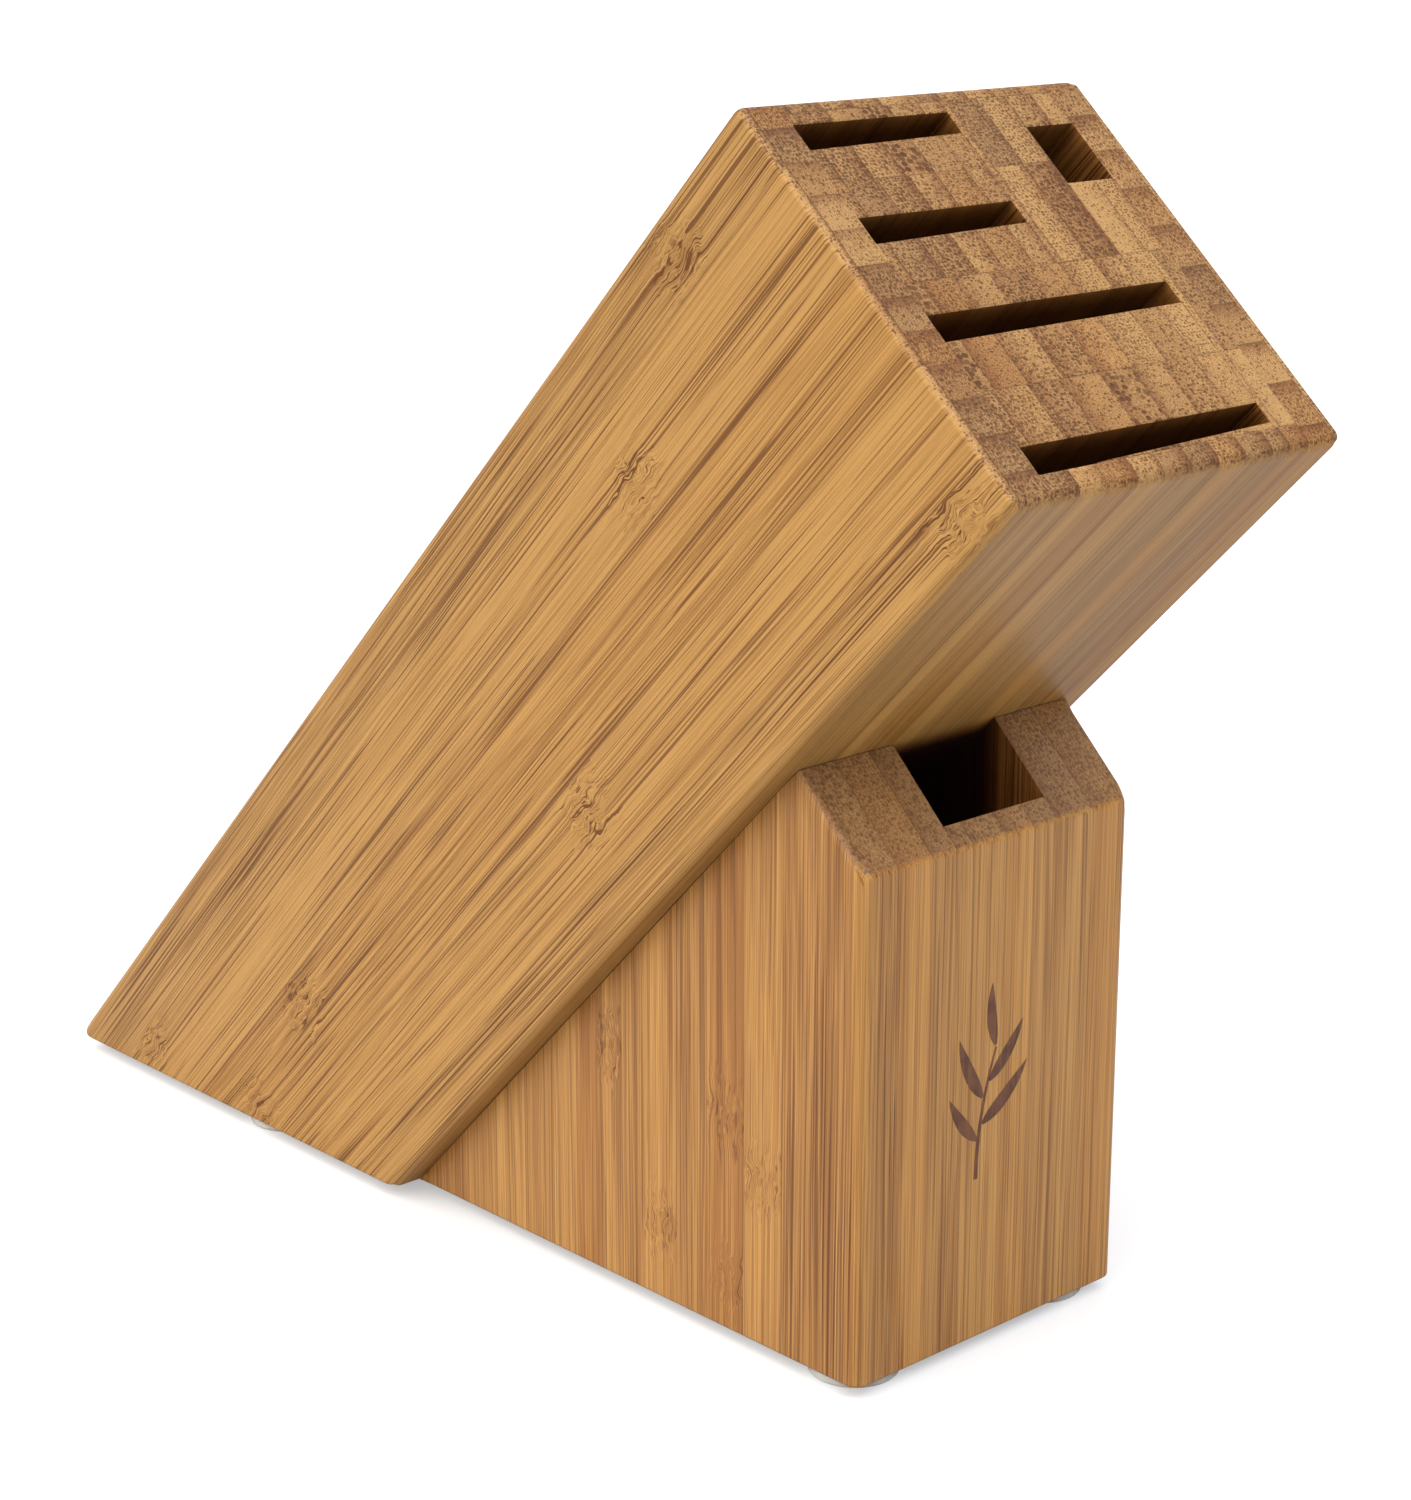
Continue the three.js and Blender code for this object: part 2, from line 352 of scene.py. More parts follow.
class Timber:
    """Something sawn from a glued-up blank. x runs across it, y through its depth and z along its grain.

    Slots are (left, right, low, high), and their mouths are rounded by slot_ease. The lattice has plain
    lines at most step apart across and through the depth, and body_lines of them along the grain between
    the rounded ends, where an end takes up no more than a share of 1 / end_parts. Every strip's pattern is
    shifted by up to shift, and its lightness, bundles and warmth vary by the variation. A side with no glue
    is held to be farther off by bare, so that it shows no line. A face with a corner deeper inside than
    hidden_from is a slot's wall, or hidden, and even its rim is held to be mouth_shade from the light.
    """

    width: float
    profile: Profile
    slots: tuple[tuple[float, float, float, float], ...] = ()
    slot_ease = 0.45
    slot_rings = (1.0, 0.55, 0.25)
    mouth_shade = 5.5
    step = 5.0
    body_lines = 10
    end_parts = 3
    shift = 300.0
    variation = (0.18, 0.12, 0.3)
    bare = 20.0
    hidden_from = 0.01

    def ends(self, y: np.ndarray, short: float) -> tuple[np.ndarray, np.ndarray]:
        """Lowest and highest place along the grain over each y, on a board that stops short."""
        raise NotImplementedError

    def place(self, points: np.ndarray) -> np.ndarray:
        """Points of the timber in the row frame, in millimetres."""
        raise NotImplementedError

    def bends(self) -> np.ndarray:
        """Places through the depth where the outline bends."""
        raise NotImplementedError

    def gloom(self, points: np.ndarray, inside: np.ndarray) -> np.ndarray:
        """How far from the light each point of a slot's wall is, from how far inside the timber it is."""
        return inside + self.mouth_shade

    def edge_steps(self) -> np.ndarray:
        """Distances from a sharp edge that the lattice has lines at, to a thousandth."""
        return np.unique(np.round(np.outer(ARC_SHARES, np.unique(self.profile.ease)).ravel(), 3))

    def soften(self, points: np.ndarray) -> np.ndarray:
        """Rounds the edges and the slot mouths over.

        A point near two faces lies in a square in front of their edge, where a and b are how near it is
        to each, from 0 to 1, and the square is pressed into a quarter disc. The long edges go first, all
        the way up. The edges of the caps follow, round the corner that this has made.

        Args:
            points: Points of the sharp timber, as rows of x, y, z.

        Returns:
            The points moved in.
        """
        out = points.copy()
        side, room = np.sign(points[:, 0]), self.width / 2 - np.abs(points[:, 0])
        gap, normal, ease = self.profile.nearest(points[:, 1:], True)
        a, b = np.clip(1 - room / ease, 0, 1), np.clip(1 - gap / ease, 0, 1)
        out[:, 0] -= side * ease * a * pressed(a, b)
        out[:, 1:] -= normal * (ease * b * pressed(a, b))[:, None]
        toward_x = np.where(b > 0, a / np.maximum(np.hypot(a, b), TINY), 1.0)
        toward_long = np.sqrt(np.maximum(1 - toward_x**2, 0))
        cap_gap, cap_normal, ease = self.profile.nearest(points[:, 1:], False)
        a, b = np.clip(1 - room / ease, 0, 1) * toward_x, np.clip(1 - cap_gap / ease, 0, 1)
        inward = ease * a * pressed(a, b)
        out[:, 0] -= side * inward * toward_x
        out[:, 1:] -= normal * (inward * toward_long)[:, None]
        out[:, 1:] -= cap_normal * (ease * b * pressed(a, b))[:, None]
        depth, normal = self.profile.depth(points[:, 1:])
        near_end = np.clip(1 - depth / self.slot_ease, 0, 1)
        for left, right, low, high in self.slots:
            gap_x = np.maximum(np.maximum(left - points[:, 0], points[:, 0] - right), 0)
            gap_y = np.maximum(np.maximum(low - points[:, 1], points[:, 1] - high), 0)
            near_slot = np.clip(1 - np.hypot(gap_x, gap_y) / self.slot_ease, 0, 1)
            press = pressed(near_slot, near_end) * (near_slot > 0)
            out[:, 1:] -= normal * (self.slot_ease * near_end * press)[:, None]
        return out

    def slot_lines(self, axis: Axis) -> np.ndarray:
        """Lines outside each slot's walls.

        Args:
            axis: The axis of the cross-section that they cross.

        Returns:
            Their places on it.
        """
        walls = np.array(self.slots).reshape(-1, 4)[:, 2 * axis.value : 2 * axis.value + 2]
        reach = self.slot_ease * np.array(self.slot_rings)
        return np.concatenate([(walls[:, :1] - reach).ravel(), (walls[:, 1:] + reach).ravel()])

    def build(self, board: Board, draw: np.random.Generator) -> Mesh:
        """One board as a closed shell: a lattice across, through and along it, with its outside kept.

        Args:
            board: The board.
            draw: Where each strip's own part of the pattern comes from.

        Returns:
            Its mesh, with the attributes that the bamboo finish reads.
        """
        half, steps = self.width / 2, self.edge_steps()
        joints = np.array(board.joints)
        none = np.array([])
        bends = np.concatenate([steps - half, half - steps, self.slot_lines(Axis.ACROSS)])
        xs = lines(board.left, board.right, self.step, bends, joints if board.along is Axis.ACROSS else none)
        bends = np.concatenate([self.bends(), self.slot_lines(Axis.DEPTH)])
        ys = lines(board.low, board.high, self.step, bends, joints if board.along is Axis.DEPTH else none)
        over = (xs - board.left) / (board.right - board.left)
        up = (ys - board.low) / (board.high - board.low)
        low, high = board.low + over * board.low_rise, board.high + over * board.high_rise
        y = low[:, None] + (high - low)[:, None] * up[None]
        bottom, top = (end.reshape(y.shape)[..., None] for end in self.ends(y.ravel(), board.short))
        room = steps * np.clip((top - bottom) / (self.end_parts * steps[-1]), 0, 1)
        share = np.linspace(0, 1, self.body_lines + 2)[1:-1]
        body = bottom + room[..., -1:] + (top - bottom - 2 * room[..., -1:]) * share
        z = np.concatenate([bottom + room, body, (top - room)[..., ::-1]], -1)
        sharp = np.stack(np.broadcast_arrays(xs[:, None, None], y[..., None], z), -1).reshape(-1, 3)
        used, quads = shell_quads(*z.shape)
        mesh = make_mesh(board.name, self.place(self.soften(sharp[used])), quads)
        self.mark(mesh, board, sharp[used], quads, draw)
        return mesh

    def mark(self, mesh: Mesh, board: Board, sharp: np.ndarray, quads: np.ndarray,
             draw: np.random.Generator) -> None:
        """Writes at each face corner where it lies in its strip. All of it is linear over a face.

        grain is the place in the strip's piece of culm. The seams are the distances to its sides, with its
        share of the way from the skin. tone holds its cut, size its bundles' size, its luck and how far it
        is from the light, and the knuckles are places measured from them.

        Args:
            mesh: The board's mesh.
            board: The board.
            sharp: Its points before the edges were rounded.
            quads: Its faces.
            draw: Where each strip's own part of the pattern comes from.
        """
        run, skin = board.along.value, board.skin.value
        spans = np.array([[board.left, board.right], [board.low, board.high]])
        edges = np.concatenate([[spans[run, 0]], board.joints, [spans[run, 1]]])
        middle = sharp[quads].mean(1)[:, run]
        which = np.repeat(np.clip(np.searchsorted(edges, middle) - 1, 0, len(board.strips) - 1), 4)
        at = sharp[quads.ravel()]
        from_low, from_high = at[:, :2] - spans[:, 0], spans[:, 1] - at[:, :2]
        from_low[:, run] = at[:, run] - edges[which]
        from_high[:, run] = edges[which + 1] - at[:, run]
        turned = np.array([s.turned for s in board.strips])[which]
        radial = np.where(turned, from_high[:, skin], from_low[:, skin])
        share = radial / (from_low[:, skin] + from_high[:, skin])
        shift = draw.uniform(0, self.shift, (len(board.strips), 3))
        luck = draw.uniform(-1, 1, (len(board.strips), 3))
        cut = np.array([s.cut.value for s in board.strips])
        grain = np.stack([radial, from_low[:, 1 - skin], at[:, 2]], -1) + shift[which]
        knots = np.array([(s.knuckles + 2 * ((FAR_OFF, FAR_OFF),))[:2] for s in board.strips])[which]
        bare = np.where(board.glued, 0.0, self.bare)
        bare_low, bare_high = np.zeros_like(from_low), np.zeros_like(from_low)
        first, last = which == 0, which == len(board.strips) - 1
        for axis in (0, 1):
            bare_low[:, axis] = bare[2 * axis] * (first if axis == run else 1)
            bare_high[:, axis] = bare[2 * axis + 1] * (last if axis == run else 1)
        none = np.zeros(len(at))
        depth = self.profile.depth(at[:, 1:])[0]
        inside = np.minimum(depth, self.width / 2 - np.abs(at[:, 0]))
        hidden = inside.reshape(-1, 4).max(1) > self.hidden_from
        inside = np.where(np.repeat(hidden, 4), self.gloom(at, inside), 0.0)
        marks = {
            "grain": grain,
            "seams": np.column_stack([from_low + bare_low, share]),
            "far_seams": np.column_stack([from_high + bare_high, none]),
            "tone": cut[which][:, :3] + luck[which] * self.variation,
            "size": np.column_stack([cut[which][:, 3], luck[which][:, 0], inside]),
            "knuckle": np.column_stack([at[:, [1 - skin, 2]] - knots[:, 0], none]),
            "knuckle_two": np.column_stack([at[:, [1 - skin, 2]] - knots[:, 1], none]),
        }
        for name, values in marks.items():
            layer = mesh.attributes.new(name, "FLOAT_VECTOR", "CORNER")
            layer.data.foreach_set("vector", values.astype(np.float32).ravel())


def cuts(words: str, turned: bool = False) -> tuple[Strip, ...]:
    """Strips from the names of their cuts, in order."""
    return tuple(Strip(Cut[word.upper()], turned) for word in words.split())


def knotted(strips: tuple[Strip, ...], knuckles: dict[int, tuple[float, float]]) -> tuple[Strip, ...]:
    """Strips with a knuckle in some of them, by number."""
    return tuple(replace(s, knuckles=(knuckles[i],)) if i in knuckles else s for i, s in enumerate(strips))


# ---------------------------------------------------------------- the leaning block


@dataclass
class LeaningBlock(Timber):
    """The leaning block. Its underside is y = 0, its back face y = thickness, and the table cuts its foot.

    Boards are laid out by distance from the left face and from the back face. An ease is the radius of a
    side's edges, and a radius that of a corner of the profile. The steel's slot is given by its left, roof
    and floor, and the lip by its left, how thick it starts and how much thicker it gets.
    """

    base: Vector
    width: float = 89.0
    thickness: float = 90.5
    underside_length: float = 248.9
    support_run: float = 134.0
    end_tilt: float = math.radians(2.4)
    side_ply: float = 2.0
    left_wall: float = 10.0
    right_wall: float = 79.5
    rows: tuple[float, ...] = (3.2, 19.6, 42.8, 67.2, 85.2)
    slot_at_wall: float = 6.0
    slot_at_end: float = 5.2
    slot_roofs: tuple[float, ...] = (5.8, 27.7, 50.0, 79.2)
    slot_ends: tuple[float, ...] = (49.3, 49.3, 73.3, 73.3)
    steel: tuple[float, float, float] = (66.7, 11.0, 25.1)
    lip: tuple[float, float, float] = (25.0, 0.2, 1.2)
    ply_joints: tuple[float, ...] = (15.5, 38.0, 60.0, 80.0)
    left_joints: tuple[float, ...] = (6.5, 14.5, 22.0, 30.0, 38.0, 45.5, 53.0, 60.5, 68.0, 76.0, 84.0)
    right_joints: tuple[float, ...] = (9.5, 18.5, 28.0, 37.5, 47.5, 57.0, 66.5, 76.0, 86.0)
    back_joints: tuple[float, ...] = (11.5, 19.5, 27.5, 34.5, 42.0, 50.0, 57.0, 64.5, 72.0)
    back_knuckles: tuple[tuple[int, float], ...] = ((1, 168.0), (3, 22.0), (5, 96.0), (8, 201.0), (9, -28.0))
    under_joints: tuple[float, ...] = (17.0, 24.0, 32.0, 39.0, 46.5, 54.0, 61.5, 69.0, 74.0)
    row_joints: tuple[tuple[float, ...], ...] = (
        (12.5, 20.0, 28.0, 35.5, 43.5, 51.0, 59.0, 66.5, 74.0),
        (12.5, 20.5, 28.5, 35.5, 43.5, 51.0, 58.5, 66.5, 74.0),
        (13.5, 22.0, 31.0, 40.5, 49.5, 58.5, 66.5, 75.0),
        (12.5, 21.5, 30.0, 40.0, 48.5, 57.0, 65.5, 74.5),
    )
    long_ease: float = 2.4
    foot_ease: float = 0.9
    end_ease: float = 1.2
    foot_radius: float = 2.6
    end_radius: float = 2.2

    def __post_init__(self) -> None:
        """Draws the profile and the slot mouths from the sizes."""
        self.profile = Profile(
            [
                Side(0, 0, -1, 0, self.long_ease, True),
                Side(0, 0, -math.cos(LEAN), -math.sin(LEAN), self.foot_ease),
                Side(self.thickness, 0, 1, 0, self.long_ease, True),
                Side(0, self.underside_length, math.sin(self.end_tilt), math.cos(self.end_tilt),
                     self.end_ease),
            ],
            [self.foot_radius, self.foot_radius, self.end_radius, self.end_radius],
        )
        mouths = [
            (self.left_wall, end, roof, roof + self.slot_at_wall)
            for roof, end in zip(self.slot_roofs, self.slot_ends)
        ]
        mouths.append((self.steel[0], self.right_wall, *self.steel[1:]))
        self.slots = tuple(
            (left - self.width / 2, right - self.width / 2, self.thickness - floor, self.thickness - roof)
            for left, right, roof, floor in mouths
        )

    def ends(self, y: np.ndarray, short: float) -> tuple[np.ndarray, np.ndarray]:
        """The table cut below and the end face above."""
        return self.profile.bound(y, 1, False), self.profile.bound(y, 3, True)

    def bends(self) -> np.ndarray:
        """Places over the arcs of the heel and nose, and near both long faces."""
        steps = self.edge_steps()
        return np.concatenate([self.profile.arc_lines(), steps, self.thickness - steps])

    def place(self, points: np.ndarray) -> np.ndarray:
        """Leans points over: y and z turn by the lean about the bottom of the underside.

        Args:
            points: Points of the block, as rows, in millimetres.

        Returns:
            The points in the row frame, in millimetres.
        """
        x, y, z = points.T
        back = self.base.y + self.support_run + y * math.sin(LEAN) - z * math.cos(LEAN)
        return np.stack([x, back, self.base.z + y * math.cos(LEAN) + z * math.sin(LEAN)], -1)

    def board(self, name: str, left: float, right: float, back: float, front: float, along: Axis,
              skin: Axis, joints: tuple[float, ...], strips: tuple[Strip, ...], bare: str = "",
              back_rise: float = 0.0, front_rise: float = 0.0) -> Board:
        """A board laid out from the left and back faces.

        Args:
            name: The board's name.
            left: Its left side, from the left face.
            right: Its right side.
            back: Its back side, from the back face.
            front: Its front side.
            along: The way that its strips follow each other.
            skin: The way that their skin sides face.
            joints: Glue lines between strips, from the same faces. Those outside the board are dropped.
            strips: The strips for all the joints given.
            bare: The sides with no glue, by first letter: l, r, b or f.
            back_rise: How much nearer the back the back side is at its right end.
            front_rise: The same for the front side.

        Returns:
            The board in the timber's own terms.
        """
        start, stop = (left, right) if along is Axis.ACROSS else (back, front)
        inner = [j for j in joints if start < j < stop]
        first = sum(j <= start for j in joints)
        strips = strips[first : first + len(inner) + 1]
        if skin is Axis.ACROSS:
            strips = tuple(replace(strip, knuckles=tuple((self.thickness - t, z) for t, z in strip.knuckles))
                           for strip in strips)
        if along is Axis.ACROSS:
            cuts_at = tuple(j - self.width / 2 for j in inner)
        else:
            cuts_at = tuple(self.thickness - j for j in reversed(inner))
            strips = strips[::-1]
        glued = tuple(letter not in bare for letter in "lrfb")
        return Board(name, left - self.width / 2, right - self.width / 2, self.thickness - front,
                     self.thickness - back, along, skin, cuts_at, strips, glued, front_rise, back_rise)

    def side_layers(self) -> list[Board]:
        """The thin plies on both sides and the thicker boards behind them.

        Returns:
            Four boards, from left to right.
        """
        plies = (
            Strip(Cut.PLAIN, True, ((9.0, 215.0),)),
            Strip(Cut.LIGHT, True, ((17.5, -60.0), (31.0, 177.0))),
            Strip(Cut.WARM, True, ((43.0, 3.0), (54.0, -33.0))),
            Strip(Cut.LIGHT, True, ((66.0, 119.0),)),
            Strip(Cut.PLAIN, True, ((86.0, 237.0),)),
        )
        lefts = cuts("red grey plain light light grey grey red dense grey grey grey", True)
        rights = cuts("plain plain plain warm plain grey plain light warm red", True)
        depth, across = Axis.DEPTH, Axis.ACROSS
        inner = self.width - self.side_ply
        full = (0.0, self.thickness)
        return [
            self.board("side_ply_left", 0, self.side_ply, *full, depth, across, self.ply_joints, plies,
                       "lbf"),
            self.board("side_board_left", self.side_ply, self.left_wall, *full, depth, depth,
                       self.left_joints, lefts, "rbf"),
            self.board("side_board_right", self.right_wall, inner, *full, depth, depth,
                       self.right_joints, rights, "lbf"),
            self.board("side_ply_right", inner, self.width, *full, depth, across, self.ply_joints,
                       plies[::-1], "rbf"),
        ]

    def cross_layers(self) -> list[Board]:
        """The back and underside boards, and the rows of the core between them, round the slots.

        Returns:
            The boards, from the back to the front, and last those of the steel's slot and the lip.
        """
        left, right = self.left_wall, self.right_wall
        across = Axis.ACROSS
        backs = knotted(cuts("dark grey plain plain light grey plain light plain plain", True),
                        {number: (self.rows[0] / 2, height) for number, height in self.back_knuckles})
        unders = cuts("grey light red light grey grey warm grey grey red", True)
        row_strips = (
            cuts("dense dense plain coarse plain plain grey light plain light", True),
            cuts("dense grey dense plain warm plain light dark pale light", True),
            cuts("coarse red plain dense warm light plain pale plain"),
            cuts("dense plain dense warm coarse plain plain light pale"),
        )
        boards = [
            self.board("back_board", left, right, 0, self.rows[0], across, across, self.back_joints, backs,
                       "b"),
            self.board("underside_board", left, right, self.rows[4], self.thickness, across, across,
                       self.under_joints, unders, "bf"),
        ]
        rise = self.slot_at_wall - self.slot_at_end
        steel_left, steel_roof, steel_floor = self.steel
        for index, (roof, end) in enumerate(zip(self.slot_roofs, self.slot_ends)):
            back, front = self.rows[index : index + 2]
            looks = (across, across, self.row_joints[index], row_strips[index])
            name = f"core_{index + 1}"
            boards.append(self.board(f"{name}_roof", left, end, back, roof, *looks, "lf"))
            floor = roof + self.slot_at_wall
            if floor < front:
                boards.append(self.board(f"{name}_floor", left, end, floor, front, *looks, "lb",
                                         back_rise=rise))
            web_right = steel_left if index < 2 else right
            boards.append(self.board(f"{name}_web", end, web_right, back, front, *looks,
                                     "lr" if index < 2 else "l"))
        boards.append(self.board("steel_slot_roof", steel_left, right, self.rows[0], steel_roof, across,
                                 across, self.row_joints[0], row_strips[0], "f"))
        boards.append(self.board("steel_slot_floor", steel_left, right, steel_floor, self.rows[2], across,
                                 across, self.row_joints[1], row_strips[1], "b"))
        lip_left, lip_start, lip_rise = self.lip
        boards.append(self.board(LIP, lip_left, self.slot_ends[3], self.rows[4] - lip_start, self.rows[4],
                                 across, across, self.row_joints[3], row_strips[3], "b", back_rise=lip_rise))
        return boards


# ---------------------------------------------------------------- the support


@dataclass
class Support(Timber):
    """The support. Its grain stands upright, y runs back from its front face, and the block closes it.

    The shears' pocket is given by its left, its right and its depth below the block. Light reaches into it
    until open_reach in front of where the block closes it.
    """

    base: Vector
    width: float = 74.7
    run: float = 134.0
    front_height: float = 102.1
    shears: tuple[float, float, float] = (25.0, 53.2, 18.7)
    left_layers: tuple[float, ...] = (0.0, 9.4, 18.4, 25.0)
    middle_layers: tuple[float, ...] = (25.0, 29.5, 38.5, 46.5, 53.2)
    right_layers: tuple[float, ...] = (53.2, 63.4, 74.7)
    strip_joints: tuple[float, ...] = (20.5, 31.0, 41.5, 50.0, 60.0, 66.5, 74.0, 80.5, 88.0, 97.0, 107.0,
                                       118.0)
    open_reach: float = 9.0
    long_ease: float = 2.8
    foot_ease: float = 0.9
    top_ease: float = 1.8
    foot_radius: float = 0.8
    brow_radius: float = 2.4
    tight: float = 0.02
    least_height: float = 0.03
    least_strip: float = 1.0

    def __post_init__(self) -> None:
        """Draws the profile from the sizes."""
        tight = self.tight
        self.profile = Profile(
            [
                Side(0, 0, -1, 0, self.long_ease, True),
                Side(0, 0, 0, -1, self.foot_ease),
                Side(self.run, 0, math.sin(LEAN), math.cos(LEAN), tight),
                Side(0, self.front_height, -math.cos(LEAN), math.sin(LEAN), self.top_ease),
            ],
            [self.foot_radius, tight, tight, self.brow_radius],
        )

    def under(self, y: np.ndarray, short: float) -> np.ndarray:
        """Height, over each y, of a plane that lies this far below the underside of the block."""
        return (self.run - short / math.sin(LEAN) - y) * math.tan(LEAN)

    def ends(self, y: np.ndarray, short: float) -> tuple[np.ndarray, np.ndarray]:
        """The foot below, and above it the sloping top or the block's underside, whichever is lower.

        Args:
            y: Places through the depth.
            short: How far below the block's underside the board stops.

        Returns:
            The lowest and the highest place along the grain over each y.
        """
        low = self.profile.bound(y, 1, False)
        top = np.minimum(self.profile.bound(y, 3, True), self.under(y, short))
        return low, np.maximum(top, low + self.least_height)

    def meeting(self, short: float) -> float:
        """Where the sloping top meets a plane this far below the underside of the block."""
        slope = 1 / math.tan(LEAN)
        return (float(self.under(np.zeros(1), short)[0]) - self.front_height) / (slope + math.tan(LEAN))

    def pocket(self) -> tuple[float, float, float]:
        """Left, right and height of the mouth of the shears' pocket at the block, in the row frame."""
        mouth = float(self.under(np.array([self.meeting(0.0)]), 0.0)[0])
        return self.shears[0] - self.width / 2, self.shears[1] - self.width / 2, mouth + self.base.z

    def gloom(self, points: np.ndarray, inside: np.ndarray) -> np.ndarray:
        """How far back in the pocket each point is, as the block closes the pocket from above."""
        return np.maximum(points[:, 1] - self.meeting(0.0) + self.open_reach, self.mouth_shade)

    def bends(self) -> np.ndarray:
        """Places over the front arcs, and where the top meets the block or the floor of the slot."""
        meets = [self.meeting(GLUE_SHADOW), self.meeting(self.shears[2])]
        return np.concatenate([self.profile.arc_lines(), self.edge_steps(), meets])

    def place(self, points: np.ndarray) -> np.ndarray:
        """Stands points in their place."""
        return points + np.array([0.0, self.base.y, self.base.z])

    def layers(self) -> list[Board]:
        """The upright layers. The middle ones stop below the block, as the floor of the shears' pocket.

        Returns:
            The boards, from left to right.
        """
        outer = (
            Strip(Cut.DENSE),
            Strip(Cut.LIGHT, False, ((25.0, 35.0),)),
            Strip(Cut.RED, False, ((36.0, 46.0), (31.0, 11.0))),
            Strip(Cut.PLAIN), Strip(Cut.LIGHT, False, ((55.0, 16.0),)), Strip(Cut.PLAIN),
            Strip(Cut.LIGHT, False, ((70.0, 50.0),)), Strip(Cut.RED), Strip(Cut.PALE),
            Strip(Cut.PLAIN), Strip(Cut.LIGHT), Strip(Cut.PLAIN), Strip(Cut.WARM),
        )
        inner = {
            "plain": cuts("plain plain warm plain light red plain plain light plain warm plain plain"),
            "dense": cuts("dense dark dense plain light red plain plain light plain warm plain plain"),
            "warm": cuts("warm plain light plain light red plain plain light plain warm plain plain"),
        }
        looks = {"left_2": "warm", "left_3": "dense", "middle_1": "dense", "middle_3": "warm",
                 "right_1": "dense"}
        half = self.width / 2
        middle_end = self.run - self.shears[2] / math.sin(LEAN)
        end_at = {"left": self.run, "right": self.run, "middle": middle_end}
        short = {"left": GLUE_SHADOW, "right": GLUE_SHADOW, "middle": self.shears[2]}
        boards = []
        for group in ("left", "middle", "right"):
            edges = getattr(self, f"{group}_layers")
            for number, (left, right) in enumerate(zip(edges[:-1], edges[1:]), 1):
                outside = (left == 0.0, right == self.width)
                glued = (not outside[0] and left != self.shears[1],
                         not outside[1] and right != self.shears[0], False, False)
                strips = outer if outside[0] else inner[looks.get(f"{group}_{number}", "plain")]
                if outside[1]:
                    strips = outer[::-1]
                inside = tuple(j for j in self.strip_joints if j < end_at[group] - self.least_strip)
                boards.append(Board(f"support_{group}_{number}", left - half, right - half, 0.0,
                                    end_at[group], Axis.DEPTH, Axis.ACROSS, inside,
                                    strips[: len(inside) + 1], glued, short=short[group]))
        return boards


# ---------------------------------------------------------------- feet and mark


@dataclass
class Feet:
    """A clear bumper, turned on a lathe. base is its height, edge and dish are the radii of its arcs."""

    base: float
    radius: float = 9.0
    edge: float = 0.7
    dish: float = 0.35
    around: int = 64
    arc_points: int = 7
    flat_points: int = 4
    smooth_up_to: float = math.radians(50)

    def profile(self) -> np.ndarray:
        """The outline, from the middle of the bottom to the middle of the top, without those two points.

        Returns:
            Radius and height as rows.
        """
        turn = np.linspace(0, math.pi / 2, self.arc_points)
        flat = self.flat_points
        bottom = np.linspace(0, self.radius - 2 * self.edge, flat + 1)[1:]
        top = np.linspace(self.radius - 2 * self.dish, 0, flat + 1)[:-1]
        low_arc = np.stack([self.radius - self.edge + self.edge * np.sin(turn),
                            self.edge * (1 - np.cos(turn))], -1)
        top_arc = np.stack([self.radius - self.dish + self.dish * np.cos(turn),
                            self.base - self.dish + self.dish * np.sin(turn)], -1)
        return np.concatenate([np.stack([bottom, np.zeros(flat)], -1), low_arc, top_arc,
                               np.stack([top, np.full(flat, self.base)], -1)])

    def build(self, name: str, x: float, y: float) -> Mesh:
        """A bumper: its profile carried round its axis, closed by a point above and below.

        Args:
            name: Name of the mesh.
            x: Place of its axis across the row frame.
            y: Place of its axis along the row frame.

        Returns:
            The mesh.
        """
        radius, height = self.profile().T
        turn = np.linspace(0, 2 * math.pi, self.around, endpoint=False)
        rings = np.stack(np.broadcast_arrays(x + radius[:, None] * np.cos(turn),
                                             y + radius[:, None] * np.sin(turn), height[:, None]), -1)
        points = np.concatenate([rings.reshape(-1, 3), [[x, y, 0.0], [x, y, self.base]]])
        n = np.arange(len(radius) * self.around).reshape(len(radius), self.around)
        after = np.roll(n, -1, 1)
        walls = np.stack([n[:-1], after[:-1], after[1:], n[1:]], -1).reshape(-1, 4).tolist()
        low, high = len(points) - 2, len(points) - 1
        caps = [[low, b, a] for a, b in zip(n[0], after[0])]
        caps += [[high, a, b] for a, b in zip(n[-1], after[-1])]
        mesh = bpy.data.meshes.new(name)
        mesh.from_pydata((points * MM).tolist(), [], [list(map(int, f)) for f in walls + caps])
        mesh.shade_smooth()
        mesh.set_sharp_from_angle(angle=self.smooth_up_to)
        return mesh


